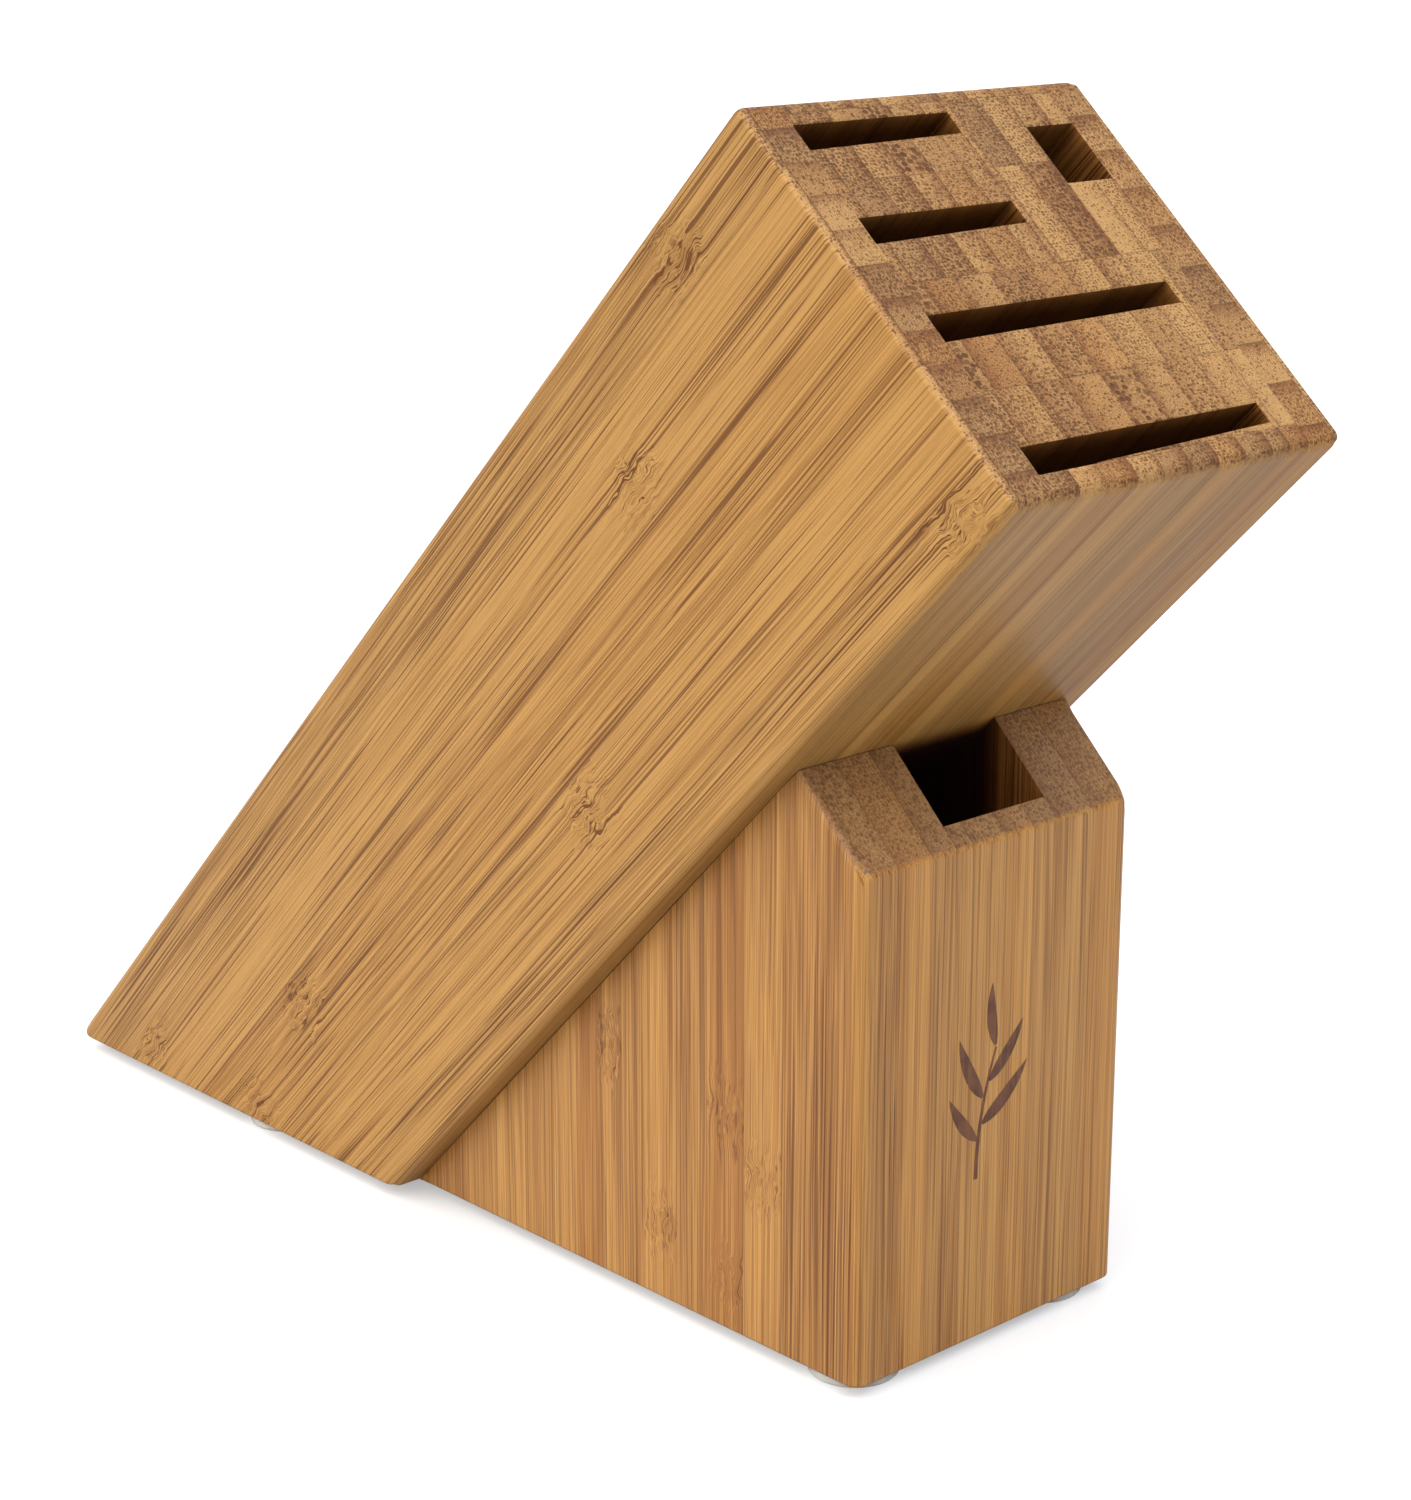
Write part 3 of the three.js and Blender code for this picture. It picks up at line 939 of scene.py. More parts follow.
@dataclass
class LeafMark:
    """A plain burned sprig on the front of the support: a stem with slender leaves, a hair proud.

    A leaf is given by its share of the way up the stem, its heading in degrees, its length and its width.
    """

    support: Support
    foot: tuple[float, float] = (-5.2, 34.0)
    rise: float = 26.0
    sway: float = 5.0
    stem_foot: float = 0.55
    stem_thins: float = 0.3
    curl: float = math.radians(24)
    upright: float = 90.0
    fullness: float = 1.75
    stalk: tuple[float, float] = (0.02, 0.6)
    tip: tuple[float, float] = (0.01, 0.9)
    points: int = 25
    ribbon_points: int = 5
    proud: float = 0.05
    burn: float = 0.04
    leaves: tuple[tuple[float, float, float, float], ...] = (
        (0.30, 128.0, 13.0, 2.1),
        (0.42, 38.0, 16.0, 2.4),
        (0.62, 118.0, 15.0, 2.3),
        (0.74, 48.0, 14.0, 2.2),
        (1.0, 96.0, 13.0, 2.1),
    )

    def stem(self, share: np.ndarray) -> np.ndarray:
        """Points of the stem: it rises and curves over to the right as the square of the height."""
        return np.stack([self.foot[0] + self.sway * share**2, self.foot[1] + self.rise * share], -1)

    def blade(self, path: np.ndarray, half_width: np.ndarray) -> tuple[np.ndarray, np.ndarray]:
        """A flat ribbon with a thickness: half_width either side of a path, closed all round.

        Args:
            path: Points of its middle line on the face, in millimetres.
            half_width: Half its width at each.

        Returns:
            Its points in the row frame and its faces.
        """
        ahead = np.gradient(path, axis=0)
        ahead /= np.linalg.norm(ahead, axis=1, keepdims=True)
        aside = np.stack([ahead[:, 1], -ahead[:, 0]], -1)
        across = np.linspace(-1, 1, self.ribbon_points)
        flat = path[:, None] + aside[:, None] * (half_width[:, None] * across)[..., None]
        front = self.support.base.y - self.proud
        back = front + self.burn
        y = np.broadcast_to(np.array([back, front]), (*flat.shape[:2], 2))
        x, z = (np.broadcast_to(flat[..., i : i + 1], y.shape) for i in (0, 1))
        lattice = np.stack([x, y, z + self.support.base.z], -1)
        used, quads = shell_quads(*lattice.shape[:3])
        return lattice.reshape(-1, 3)[used], quads

    def build(self) -> Mesh:
        """The stem and its leaves as closed ribbons in one mesh.

        A leaf's half width is a power of its share of the way up, times a power of its share of the way
        down. The first is lower, so the leaf is round at the stalk and sharp at the tip.

        Returns:
            The mesh.
        """
        share = np.linspace(0, 1, self.points)
        ribbons = [self.blade(self.stem(share), self.stem_foot - self.stem_thins * share)]
        for start, heading, length, width in self.leaves:
            curl = -self.curl if heading > self.upright else self.curl
            turn = math.radians(heading) + (share - 0.5) * curl
            ahead = np.stack([np.cos(turn), np.sin(turn)], -1) * length / (len(share) - 1)
            path = self.stem(np.array([start])) + np.cumsum(ahead, 0)
            swell = np.maximum(share, self.stalk[0]) ** self.stalk[1]
            taper = np.maximum(1 - share, self.tip[0]) ** self.tip[1]
            ribbons.append(self.blade(path, width * self.fullness * swell * taper))
        starts = np.cumsum([0] + [len(points) for points, _ in ribbons[:-1]])
        points = np.concatenate([points for points, _ in ribbons])
        quads = np.concatenate([faces + start for (_, faces), start in zip(ribbons, starts)])
        return make_mesh("burned_sprig", points, quads)


# ---------------------------------------------------------------- finishes


def linear(code: str) -> tuple[float, float, float, float]:
    """A colour as the light that it gives back, by the usual curve of screens.

    Args:
        code: The colour's code, such as d9ae74.

    Returns:
        Red, green and blue from 0 to 1, and a last 1.
    """
    parts = np.array([int(code[i : i + 2], 16) for i in (0, 2, 4)]) / 255
    light = np.where(parts <= 0.04045, parts / 12.92, ((parts + 0.055) / 1.055) ** 2.4)
    return (*map(float, light), 1.0)


@dataclass(frozen=True)
class Noise:
    """A soft noise: how tight it is across, through and along, and how much finer noise is on top."""

    tight: tuple[float, float, float]
    detail: float
    rough: float = 0.55


class Kind(Enum):
    """Types of a group's sockets."""

    NUMBER = "NodeSocketFloat"
    VECTOR = "NodeSocketVector"


class Graph:
    """Builds a node tree, one call for each node."""

    def __init__(self, tree: Tree) -> None:
        """Starts on a tree."""
        self.tree = tree

    def put(self, kind: str, feeds: dict[str | int, object] | None = None, **settings: object) -> Node:
        """Adds a node.

        Args:
            kind: Its type, without the leading ShaderNode.
            feeds: What goes into its sockets, by name or number: a socket or a value.
            settings: Its other properties.

        Returns:
            The node.
        """
        node = self.tree.nodes.new(kind if kind.startswith("Node") else f"ShaderNode{kind}")
        for name, value in settings.items():
            setattr(node, name, value)
        self.feed(node, feeds or {})
        return node

    def feed(self, node: Node, feeds: dict[str | int, object]) -> None:
        """Fills a node's sockets.

        Args:
            node: The node.
            feeds: What goes into its sockets, by name or number: a socket or a value.
        """
        for key, value in feeds.items():
            if isinstance(value, Socket):
                self.tree.links.new(value, node.inputs[key])
            else:
                node.inputs[key].default_value = value

    def math(self, operation: str, *values: object, clamp: bool = False) -> Socket:
        """A sum on numbers."""
        return self.put("Math", dict(enumerate(values)), operation=operation, use_clamp=clamp).outputs[0]

    def add(self, *values: object) -> Socket:
        """All the numbers added up."""
        return reduce(partial(self.math, "ADD"), values)

    def times(self, *values: object) -> Socket:
        """All the numbers multiplied."""
        return reduce(partial(self.math, "MULTIPLY"), values)

    def total(self, start: object, *products: tuple[object, ...]) -> Socket:
        """A number and several products added up."""
        return self.add(start, *(self.times(*factors) for factors in products))

    def vector(self, operation: str, *values: object) -> Socket:
        """A sum on vectors."""
        node = self.put("VectorMath", dict(enumerate(values)), operation=operation)
        return node.outputs["Value" if operation in ("DOT_PRODUCT", "LENGTH") else "Vector"]

    def parts(self, vector: Socket) -> tuple[Socket, ...]:
        """The three numbers of a vector."""
        return tuple(self.put("SeparateXYZ", {0: vector}).outputs)

    def join(self, x: object, y: object, z: object) -> Socket:
        """A vector of three numbers."""
        return self.put("CombineXYZ", {0: x, 1: y, 2: z}).outputs[0]

    def ramp(self, value: object, start: object, stop: object, low: object = 0.0,
             high: object = 1.0) -> Socket:
        """A smooth step from low, where value is at start, to high, where it is at stop."""
        feeds = {"Value": value, "From Min": start, "From Max": stop, "To Min": low, "To Max": high}
        return self.put("MapRange", feeds, interpolation_type="SMOOTHSTEP").outputs[0]

    def mix(self, share: object, first: object, second: object) -> Socket:
        """A colour between two colours."""
        return self.put("Mix", {0: share, 6: first, 7: second}, data_type="RGBA").outputs[2]

    def noise(self, place: Socket, look: Noise, output: str = "Fac") -> Socket:
        """Soft noise over a place: a number from 0 to 1, or a colour from the output named Color."""
        feeds = {"Vector": self.vector("MULTIPLY", place, look.tight), "Scale": 1.0, "Detail": look.detail,
                 "Roughness": look.rough}
        return self.put("TexNoise", feeds).outputs[output]

    def attribute(self, name: str) -> Socket:
        """A vector attribute of the piece."""
        return self.put("Attribute", attribute_name=name).outputs["Vector"]

    def place(self) -> Socket:
        """The place on the piece, in metres in the row frame."""
        return self.put("TexCoord").outputs["Object"]

    def normal(self) -> Socket:
        """The way that the surface faces."""
        return self.put("NewGeometry").outputs["Normal"]

    def bump(self, strength: float, depth: float, height: object) -> Socket:
        """A normal tipped by a height, whose whole range is depth metres."""
        return self.put("Bump", {"Strength": strength, "Distance": depth, "Height": height}).outputs[0]

    def give(self, outputs: dict[str, Socket]) -> Tree:
        """Ends a node group.

        Args:
            outputs: What it gives, by name. All of it is numbers.

        Returns:
            The group.
        """
        for label in outputs:
            self.tree.interface.new_socket(label, in_out="OUTPUT", socket_type=Kind.NUMBER.value)
        self.put("NodeGroupOutput", outputs)
        return self.tree


def open_group(name: str, takes: dict[str, Kind]) -> tuple[Graph, list[Socket]]:
    """Starts a node group.

    Args:
        name: Its name.
        takes: Its inputs and their types.

    Returns:
        A builder on it, and what comes in by each input.
    """
    tree = bpy.data.node_groups.new(name, "ShaderNodeTree")
    for label, kind in takes.items():
        tree.interface.new_socket(label, in_out="INPUT", socket_type=kind.value)
    graph = Graph(tree)
    inlet = graph.put("NodeGroupInput")
    return graph, [inlet.outputs[label] for label in takes]


def open_finish(name: str) -> tuple[Material, Graph, Node]:
    """Starts a finish.

    Args:
        name: Its name.

    Returns:
        Its material, a builder on it, and its shader.
    """
    material = bpy.data.materials.new(name)
    material.use_nodes = True
    return material, Graph(material.node_tree), material.node_tree.nodes["Principled BSDF"]


@dataclass(frozen=True)
class FibreField:
    """How bamboo is built inside: bundles that run along it, in softer wood. Sizes are in millimetres.

    Bundles are the cores of long cells, whose sides are shares of the spacing. A core's radius is a share
    of its cell. The ramps are the values of a noise between which a thread, hair or ribbon shows.
    """

    spacing: float = 0.84
    cell: tuple[float, float, float] = (1.15, 0.92, 150.0)
    scatter: float = 0.66
    waver: float = 0.5
    stir: float = 2.8
    stir_inward: float = 0.5
    slow: Noise = Noise((0.10, 0.10, 0.012), 1.0, 0.5)
    quick: Noise = Noise((0.24, 0.24, 0.2), 1.5, 0.5)
    bands: Noise = Noise((0.26, 0.26, 0.0035), 2.5)
    fine: Noise = Noise((3.1, 3.1, 0.02), 2.0, 0.7)
    hair: Noise = Noise((2.3, 2.3, 0.011), 0.5)
    ribbon: Noise = Noise((0.75, 0.75, 0.0055), 1.5)
    crowd_at_skin: float = 0.5
    crowd_in_bands: float = 1.2
    radius: float = 0.17
    radius_in_crowd: float = 0.11
    radius_by_luck: float = 0.07
    line_edge: float = 0.07
    dot_edges: tuple[float, float] = (0.20, 0.07)
    faintest_line: float = 0.3
    faintest_dot: float = 0.6
    fine_ramp: tuple[float, float] = (0.3, 0.7)
    hair_ramp: tuple[float, float] = (0.60, 0.66)
    hair_in_bands: float = 0.45
    ribbon_ramp: tuple[float, float] = (0.45, 0.55)

    def moved(self, graph: Graph, grain: Socket, stir: Socket) -> Socket:
        """The place in the culm, pushed sideways by noise: a little everywhere, a lot near a knuckle.

        Args:
            graph: The group's builder.
            grain: The place in the strip's own piece of culm.
            stir: How near a knuckle it is.

        Returns:
            The place whose fibres show there.
        """
        middle = (0.5, 0.5, 0.5)
        push = graph.vector("SUBTRACT", graph.noise(grain, self.slow, "Color"), middle)
        push = graph.vector("MULTIPLY", push, (2 * self.waver, 2 * self.waver, 0.0))
        swirl = graph.vector("SUBTRACT", graph.noise(grain, self.quick, "Color"), middle)
        reach = graph.times(stir, 2 * self.stir)
        swirl = graph.vector("MULTIPLY", swirl, graph.join(graph.times(reach, self.stir_inward), reach, 0.0))
        return graph.vector("ADD", graph.vector("ADD", grain, push), swirl)

    def group(self) -> Tree:
        """Bands are broad and slow, and bundles crowd together where they are dark and near the skin.

        Returns:
            The group.
        """
        takes = {"Grain": Kind.VECTOR} | dict.fromkeys(("Share", "Density", "Size", "Stir"), Kind.NUMBER)
        graph, (grain, share, density, size, stir) = open_group("bamboo fibres", takes)
        place = self.moved(graph, grain, stir)
        bands = graph.noise(place, self.bands)
        above = graph.add(bands, -0.5)
        pitch = graph.times(size, self.spacing)
        scaled = graph.vector("DIVIDE", place, graph.join(*(graph.times(pitch, side) for side in self.cell)))
        cells = graph.put("TexVoronoi", {"Vector": scaled, "Scale": 1.0, "Randomness": self.scatter})
        luck = graph.parts(cells.outputs["Color"])[0]
        crowd = graph.total(density, (graph.math("SUBTRACT", 0.5, share), self.crowd_at_skin),
                            (above, self.crowd_in_bands))
        radius = graph.total(self.radius, (crowd, self.radius_in_crowd), (luck, self.radius_by_luck))
        away = cells.outputs["Distance"]
        line = graph.ramp(away, radius, graph.add(radius, -self.line_edge))
        dot = graph.ramp(away, *(graph.add(radius, edge) for edge in self.dot_edges))
        hair = graph.total(graph.noise(place, self.hair), (above, self.hair_in_bands))
        return graph.give({
            "Lines": graph.times(line, graph.total(self.faintest_line, (luck, 1 - self.faintest_line))),
            "Dots": graph.times(dot, graph.total(self.faintest_dot, (luck, 1 - self.faintest_dot))),
            "Fibres": graph.ramp(graph.noise(place, self.fine), *self.fine_ramp, -1.0, 1.0),
            "Hairs": graph.ramp(hair, *self.hair_ramp),
            "Ribbons": graph.ramp(graph.noise(place, self.ribbon), *self.ribbon_ramp, -0.5, 0.5),
            "Bands": bands,
        })


@dataclass(frozen=True)
class Knuckle:
    """Where a culm had a joint: the fibres swirl and darken over a small patch. Sizes are in millimetres.

    The rim is where the patch ends, as a share of its size, and ragged is how far noise moves it.
    """

    across: float = 8.0
    along: float = 8.5
    rim: float = 1.25
    ragged: float = 0.35
    noise: Noise = Noise((0.45, 0.45, 0.2), 2.0)
    noise_ramp: tuple[float, float] = (0.3, 0.7)

    def group(self) -> Tree:
        """Nearness falls off as the distance from the patch's middle grows.

        Returns:
            The group.
        """
        takes = dict.fromkeys(("First", "Second", "Grain"), Kind.VECTOR)
        graph, (*patches, grain) = open_group("bamboo knuckle", takes)
        ragged = graph.ramp(graph.noise(grain, self.noise), *self.noise_ramp, -self.ragged, self.ragged)
        scale = (1 / self.across, 1 / self.along, 0.0)
        away = [graph.vector("LENGTH", graph.vector("MULTIPLY", patch, scale)) for patch in patches]
        near = [graph.ramp(graph.add(distance, ragged), self.rim, 0.0) for distance in away]
        return graph.give({"Near": graph.math("MAXIMUM", *near)})


@dataclass(frozen=True)
class Seam:
    """The line where two strips are glued, darkest up to its core. Sizes are in millimetres."""

    width: float = 0.26
    core: float = 0.05
    facing_ramp: tuple[float, float] = (0.3, 0.8)
    far: float = 9.0

    def group(self) -> Tree:
        """A line where the nearest glued side of the strip is closer than the width.

        A side that the surface itself lies on doesn't count: the more the surface faces that way, the
        farther off that side is held to be.

        Returns:
            The group.
        """
        takes = dict.fromkeys(("Low", "High", "Depth"), Kind.VECTOR)
        graph, (low, high, depth) = open_group("glue seam", takes)
        normal = graph.normal()
        near = []
        for axis, one, other in zip(((1.0, 0.0, 0.0), depth), graph.parts(low), graph.parts(high)):
            facing = graph.math("ABSOLUTE", graph.vector("DOT_PRODUCT", normal, axis))
            away = graph.ramp(facing, *self.facing_ramp, 0.0, self.far)
            near.append(graph.add(graph.math("MINIMUM", one, other), away))
        return graph.give({"Line": graph.ramp(graph.math("MINIMUM", *near), self.width, self.core)})


@dataclass(frozen=True)
class Pocket:
    """The part of the underside that closes the shears' pocket. Sizes are in millimetres.

    Light falls off from above the pocket's mouth to below it, until the share lost is gone.
    """

    left: float
    right: float
    mouth: float
    soft: float = 0.4
    above: float = 1.5
    below: float = 4.5
    facing_ramp: tuple[float, float] = (-0.4, -0.9)
    lost: float = 0.96

    def light(self, graph: Graph, facing: Socket) -> Socket:
        """How much light reaches the surface.

        Args:
            graph: The material's builder.
            facing: How far the surface faces away from the underside's outside, from -1 to 1.

        Returns:
            A share from 0 to 1.
        """
        x, _, z = graph.parts(graph.place())
        left = graph.ramp(x, (self.left - self.soft) * MM, self.left * MM)
        right = graph.ramp(x, (self.right + self.soft) * MM, self.right * MM)
        under = graph.ramp(z, (self.mouth + self.above) * MM, (self.mouth - self.below) * MM)
        return graph.total(1.0, (left, right, under, graph.ramp(facing, *self.facing_ramp), -self.lost))


@dataclass(frozen=True)
class Shares:
    """How much each thing counts in the look of bamboo.

    The wood lies between its pale and its deep colour. Bundles, dots and glue lines are laid over it.
    """

    plain: float = 0.42
    tone: float = -0.34
    end_tone: float = -0.44
    skin: float = 0.22
    skin_power: float = 3.5
    end_skin_luck: float = 0.3
    bands: float = 1.0
    end_bands: float = 0.4
    knuckle: float = 0.2
    thread_density: float = 0.15
    end_threads: float = 0.44
    hairs: float = 0.9
    bundle: float = 0.42
    bundle_density: float = 0.6
    bundle_knuckle: float = 0.3
    dot: float = 0.72
    dot_density: float = 0.22
    glue: float = 0.16
    glue_luck: float = 0.10
    glue_end: float = 0.2
    warm_red: float = 0.035
    warm_blue: float = -0.07
    end_rough: float = 0.14
    thread_rough: float = 0.04


@dataclass(frozen=True)
class Reading:
    """What the attributes and the groups say about a place on a board, one socket each.

    near is how near a knuckle it is, end how far it faces along the grain, and clear how well its fibres
    show.
    """

    tone: Socket
    density: Socket
    warmth: Socket
    luck: Socket
    inside: Socket
    skin: Socket
    near: Socket
    lines: Socket
    dots: Socket
    threads: Socket
    hairs: Socket
    ribbons: Socket
    bands: Socket
    seam: Socket
    end: Socket
    clear: Socket
    facing_up: Socket


@dataclass(frozen=True)
class BambooFinish:
    """A lacquered bamboo surface. grain_axis and depth_axis are directions in the row frame.

    strands is how strongly bundles show. On the faces that face along depth_axis, only a share calm of the
    fibres' contrast is left. Inside a slot, light falls to shadow at shadow_depth millimetres, and turns
    redder by the powers of its green and its blue.
    """

    name: str
    grain_axis: tuple[float, float, float]
    depth_axis: tuple[float, float, float]
    pale: str = "bc8e4e"
    deep: str = "90632d"
    bundle: str = "673a0d"
    end_pale: str = "bb915a"
    end_deep: str = "7c502c"
    end_bundle: str = "573313"
    seam: str = "4f3016"
    roughness: float = 0.46
    coat: float = 0.06
    coat_roughness: float = 0.32
    gloss: float = 0.24
    shadow: float = 0.34
    shadow_start: float = 0.2
    shadow_depth: float = 8.0
    shadow_powers: tuple[float, float] = (1.25, 1.5)
    thread_share: float = 0.5
    ribbon: float = 0.15
    strands: float = 1.3
    calm: float = 0.36
    skin_end: float = 0.65
    relief_strength: float = 0.7
    relief_depth: float = 0.00008
    relief: tuple[float, float, float] = (-0.6, 0.3, -0.6)
    end_ramp: tuple[float, float] = (0.35, 0.8)
    broad_ramp: tuple[float, float] = (0.3, 0.9)
    shares: Shares = Shares()
    pocket: Pocket | None = None

    def read(self, graph: Graph, fibres: Tree, knuckle: Tree, seam: Tree) -> Reading:
        """Reads a board's attributes and passes them through the groups.

        Args:
            graph: The material's builder.
            fibres: The fibre group.
            knuckle: The knuckle group.
            seam: The glue seam group.

        Returns:
            All that they say.
        """
        grain, low, high = (graph.attribute(name) for name in ("grain", "seams", "far_seams"))
        tone, density, warmth = graph.parts(graph.attribute("tone"))
        size, luck, inside = graph.parts(graph.attribute("size"))
        share = graph.parts(low)[2]
        knots = (graph.attribute("knuckle"), graph.attribute("knuckle_two"), grain)
        near = graph.put("Group", dict(enumerate(knots)), node_tree=knuckle).outputs[0]
        place = (grain, share, density, size, near)
        lines_seen, dots, threads, hairs, ribbons, bands = graph.put(
            "Group", dict(enumerate(place)), node_tree=fibres).outputs
        line = graph.put("Group", {0: low, 1: high, 2: self.depth_axis}, node_tree=seam).outputs[0]
        normal = graph.normal()
        along = graph.math("ABSOLUTE", graph.vector("DOT_PRODUCT", normal, self.grain_axis))
        up = graph.vector("DOT_PRODUCT", normal, self.depth_axis)
        clear = graph.ramp(graph.math("ABSOLUTE", up), *self.broad_ramp, 1.0, self.calm)
        skin = graph.math("POWER", graph.math("SUBTRACT", 1.0, share), self.shares.skin_power)
        return Reading(tone, density, warmth, luck, inside, skin, near, lines_seen, dots, threads, hairs,
                       ribbons, bands, line, graph.ramp(along, *self.end_ramp), clear, up)

    def long_wood(self, graph: Graph, seen: Reading, strands: Socket) -> Socket:
        """The colour along the grain: streaked wood with dark bundles on it.

        Args:
            graph: The material's builder.
            seen: What there is to see.
            strands: Where bundles and hairs show.

        Returns:
            The colour.
        """
        by = self.shares
        shade = graph.total(by.plain, (seen.tone, by.tone), (seen.skin, by.skin),
                            (graph.add(seen.bands, -0.5), by.bands), (seen.ribbons, seen.clear, self.ribbon),
                            (seen.near, by.knuckle))
        density = graph.total(self.thread_share, (seen.density, by.thread_density))
        shade = graph.math("ADD", shade, graph.times(seen.threads, seen.clear, density), clamp=True)
        wood = graph.mix(shade, linear(self.pale), linear(self.deep))
        strength = graph.total(by.bundle, (seen.density, by.bundle_density), (seen.near, by.bundle_knuckle))
        marks = graph.math("MULTIPLY", graph.times(strands, seen.clear), graph.times(strength, self.strands),
                           clamp=True)
        return graph.mix(marks, wood, linear(self.bundle))

    def end_wood(self, graph: Graph, seen: Reading) -> Socket:
        """The colour across the grain: wood that is darker toward the skin, with dots on it.

        Args:
            graph: The material's builder.
            seen: What there is to see.

        Returns:
            The colour.
        """
        by = self.shares
        rind = graph.times(seen.skin, graph.total(self.skin_end, (seen.luck, by.end_skin_luck)))
        shade = graph.total(by.plain, (seen.tone, by.end_tone), (rind,), (seen.threads, by.end_threads),
                            (graph.add(seen.bands, -0.5), by.end_bands))
        shade = graph.math("ADD", shade, 0.0, clamp=True)
        wood = graph.mix(shade, linear(self.end_pale), linear(self.end_deep))
        strength = graph.total(by.dot, (seen.density, by.dot_density))
        dots = graph.math("MULTIPLY", seen.dots, strength, clamp=True)
        return graph.mix(dots, wood, linear(self.end_bundle))

    def light(self, graph: Graph, seen: Reading) -> Socket:
        """How much of each colour of light reaches a place inside a slot, or all of it outside.

        Args:
            graph: The material's builder.
            seen: What there is to see.

        Returns:
            The three shares.
        """
        dim = graph.ramp(seen.inside, self.shadow_start, self.shadow_depth, 1.0, self.shadow)
        if self.pocket:
            dim = graph.times(dim, self.pocket.light(graph, seen.facing_up))
        return graph.join(dim, *(graph.math("POWER", dim, power) for power in self.shadow_powers))

    def build(self, *groups: Tree) -> Material:
        """The finish as a material.

        Args:
            groups: The fibre group, the knuckle group and the glue seam group.

        Returns:
            The material, which reads the attributes of a board.
        """
        by = self.shares
        material, graph, shader = open_finish(self.name)
        seen = self.read(graph, *groups)
        strands = graph.total(seen.lines, (seen.hairs, by.hairs))
        colour = graph.mix(seen.end, self.long_wood(graph, seen, strands), self.end_wood(graph, seen))
        glue = graph.total(by.glue, (seen.luck, by.glue_luck), (seen.end, by.glue_end))
        colour = graph.mix(graph.times(seen.seam, glue), colour, linear(self.seam))
        tint = graph.join(graph.total(1.0, (seen.warmth, by.warm_red)), 1.0,
                          graph.total(1.0, (seen.warmth, by.warm_blue)))
        colour = graph.vector("MULTIPLY", graph.vector("MULTIPLY", colour, tint), self.light(graph, seen))
        relief = graph.total(0.0, *zip((strands, seen.threads, seen.seam), self.relief))
        graph.feed(shader, {
            "Base Color": colour,
            "Roughness": graph.total(self.roughness, (seen.end, by.end_rough),
                                     (seen.threads, by.thread_rough)),
            "Normal": graph.bump(self.relief_strength, self.relief_depth, relief),
            "Coat Weight": self.coat,
            "Coat Roughness": self.coat_roughness,
            "Specular IOR Level": self.gloss,
        })
        return material


@dataclass(frozen=True)
class ClearRubberFinish:
    """Clear soft rubber, a little cloudy. Its pale, mostly matte colour is partly the rubber's own and
    partly a painted reflection of the white floor.
    """

    name: str = "clear rubber"
    tint: str = "faf8f0"
    cloudy: str = "eeede4"
    cloud: Noise = Noise((260.0, 260.0, 260.0), 3.0)
    roughness: float = 0.18
    cloud_rough: float = 0.15
    uneven_strength: float = 0.25
    uneven_depth: float = 0.0001
    transmission: float = 0.3
    refraction: float = 1.47

    def build(self) -> Material:
        """The finish as a material: the surface is slightly uneven, so its gloss varies.

        Returns:
            The material.
        """
        material, graph, shader = open_finish(self.name)
        cloud = graph.noise(graph.place(), self.cloud)
        graph.feed(shader, {
            # The pale base colour, with little transmission, is partly painted reflection of the white floor
            "Base Color": graph.mix(cloud, linear(self.tint), linear(self.cloudy)),
            "Roughness": graph.total(self.roughness, (cloud, self.cloud_rough)),
            "Normal": graph.bump(self.uneven_strength, self.uneven_depth, cloud),
            "Transmission Weight": self.transmission,
            "IOR": self.refraction,
        })
        return material


@dataclass(frozen=True)
class BurnFinish:
    """Wood scorched by a hot stamp, with the grain showing through."""

    name: str = "burned bamboo"
    char: str = "522f1b"
    rim: str = "774a2c"
    streak: Noise = Noise((1500.0, 1500.0, 40.0), 3.0)
    patch: Noise = Noise((220.0, 220.0, 220.0), 2.0)
    ramp: tuple[float, float] = (0.75, 1.25)
    roughness: float = 0.5
    streak_rough: float = 0.2

    def build(self) -> Material:
        """The finish as a material: upright streaks, darker and lighter.

        Returns:
            The material.
        """
        material, graph, shader = open_finish(self.name)
        place = graph.place()
        streak, patch = graph.noise(place, self.streak), graph.noise(place, self.patch)
        share = graph.ramp(graph.add(streak, patch), *self.ramp)
        graph.feed(shader, {
            "Base Color": graph.mix(share, linear(self.char), linear(self.rim)),
            "Roughness": graph.total(self.roughness, (streak, self.streak_rough)),
        })
        return material


# ---------------------------------------------------------------- studio


@dataclass(frozen=True)
class Lamp:
    """A very soft lamp, so far off that it lights the whole floor evenly.

    toward is the direction from the object to it, light is how bright it makes a white card that faces it,
    as a share of white, and spread is how wide it is, in degrees.
    """

    name: str
    toward: tuple[float, float, float]
    light: float
    spread: float
    colour: tuple[float, float, float]

    def hang(self) -> None:
        """Puts the lamp up."""
        data = bpy.data.lights.new(self.name, "SUN")
        data.energy, data.angle, data.color = math.pi * self.light, math.radians(self.spread), self.colour
        lamp = bpy.data.objects.new(self.name, data)
        lamp.rotation_euler = (-Vector(self.toward)).to_track_quat("-Z", "Y").to_euler()
        bpy.context.scene.collection.objects.link(lamp)


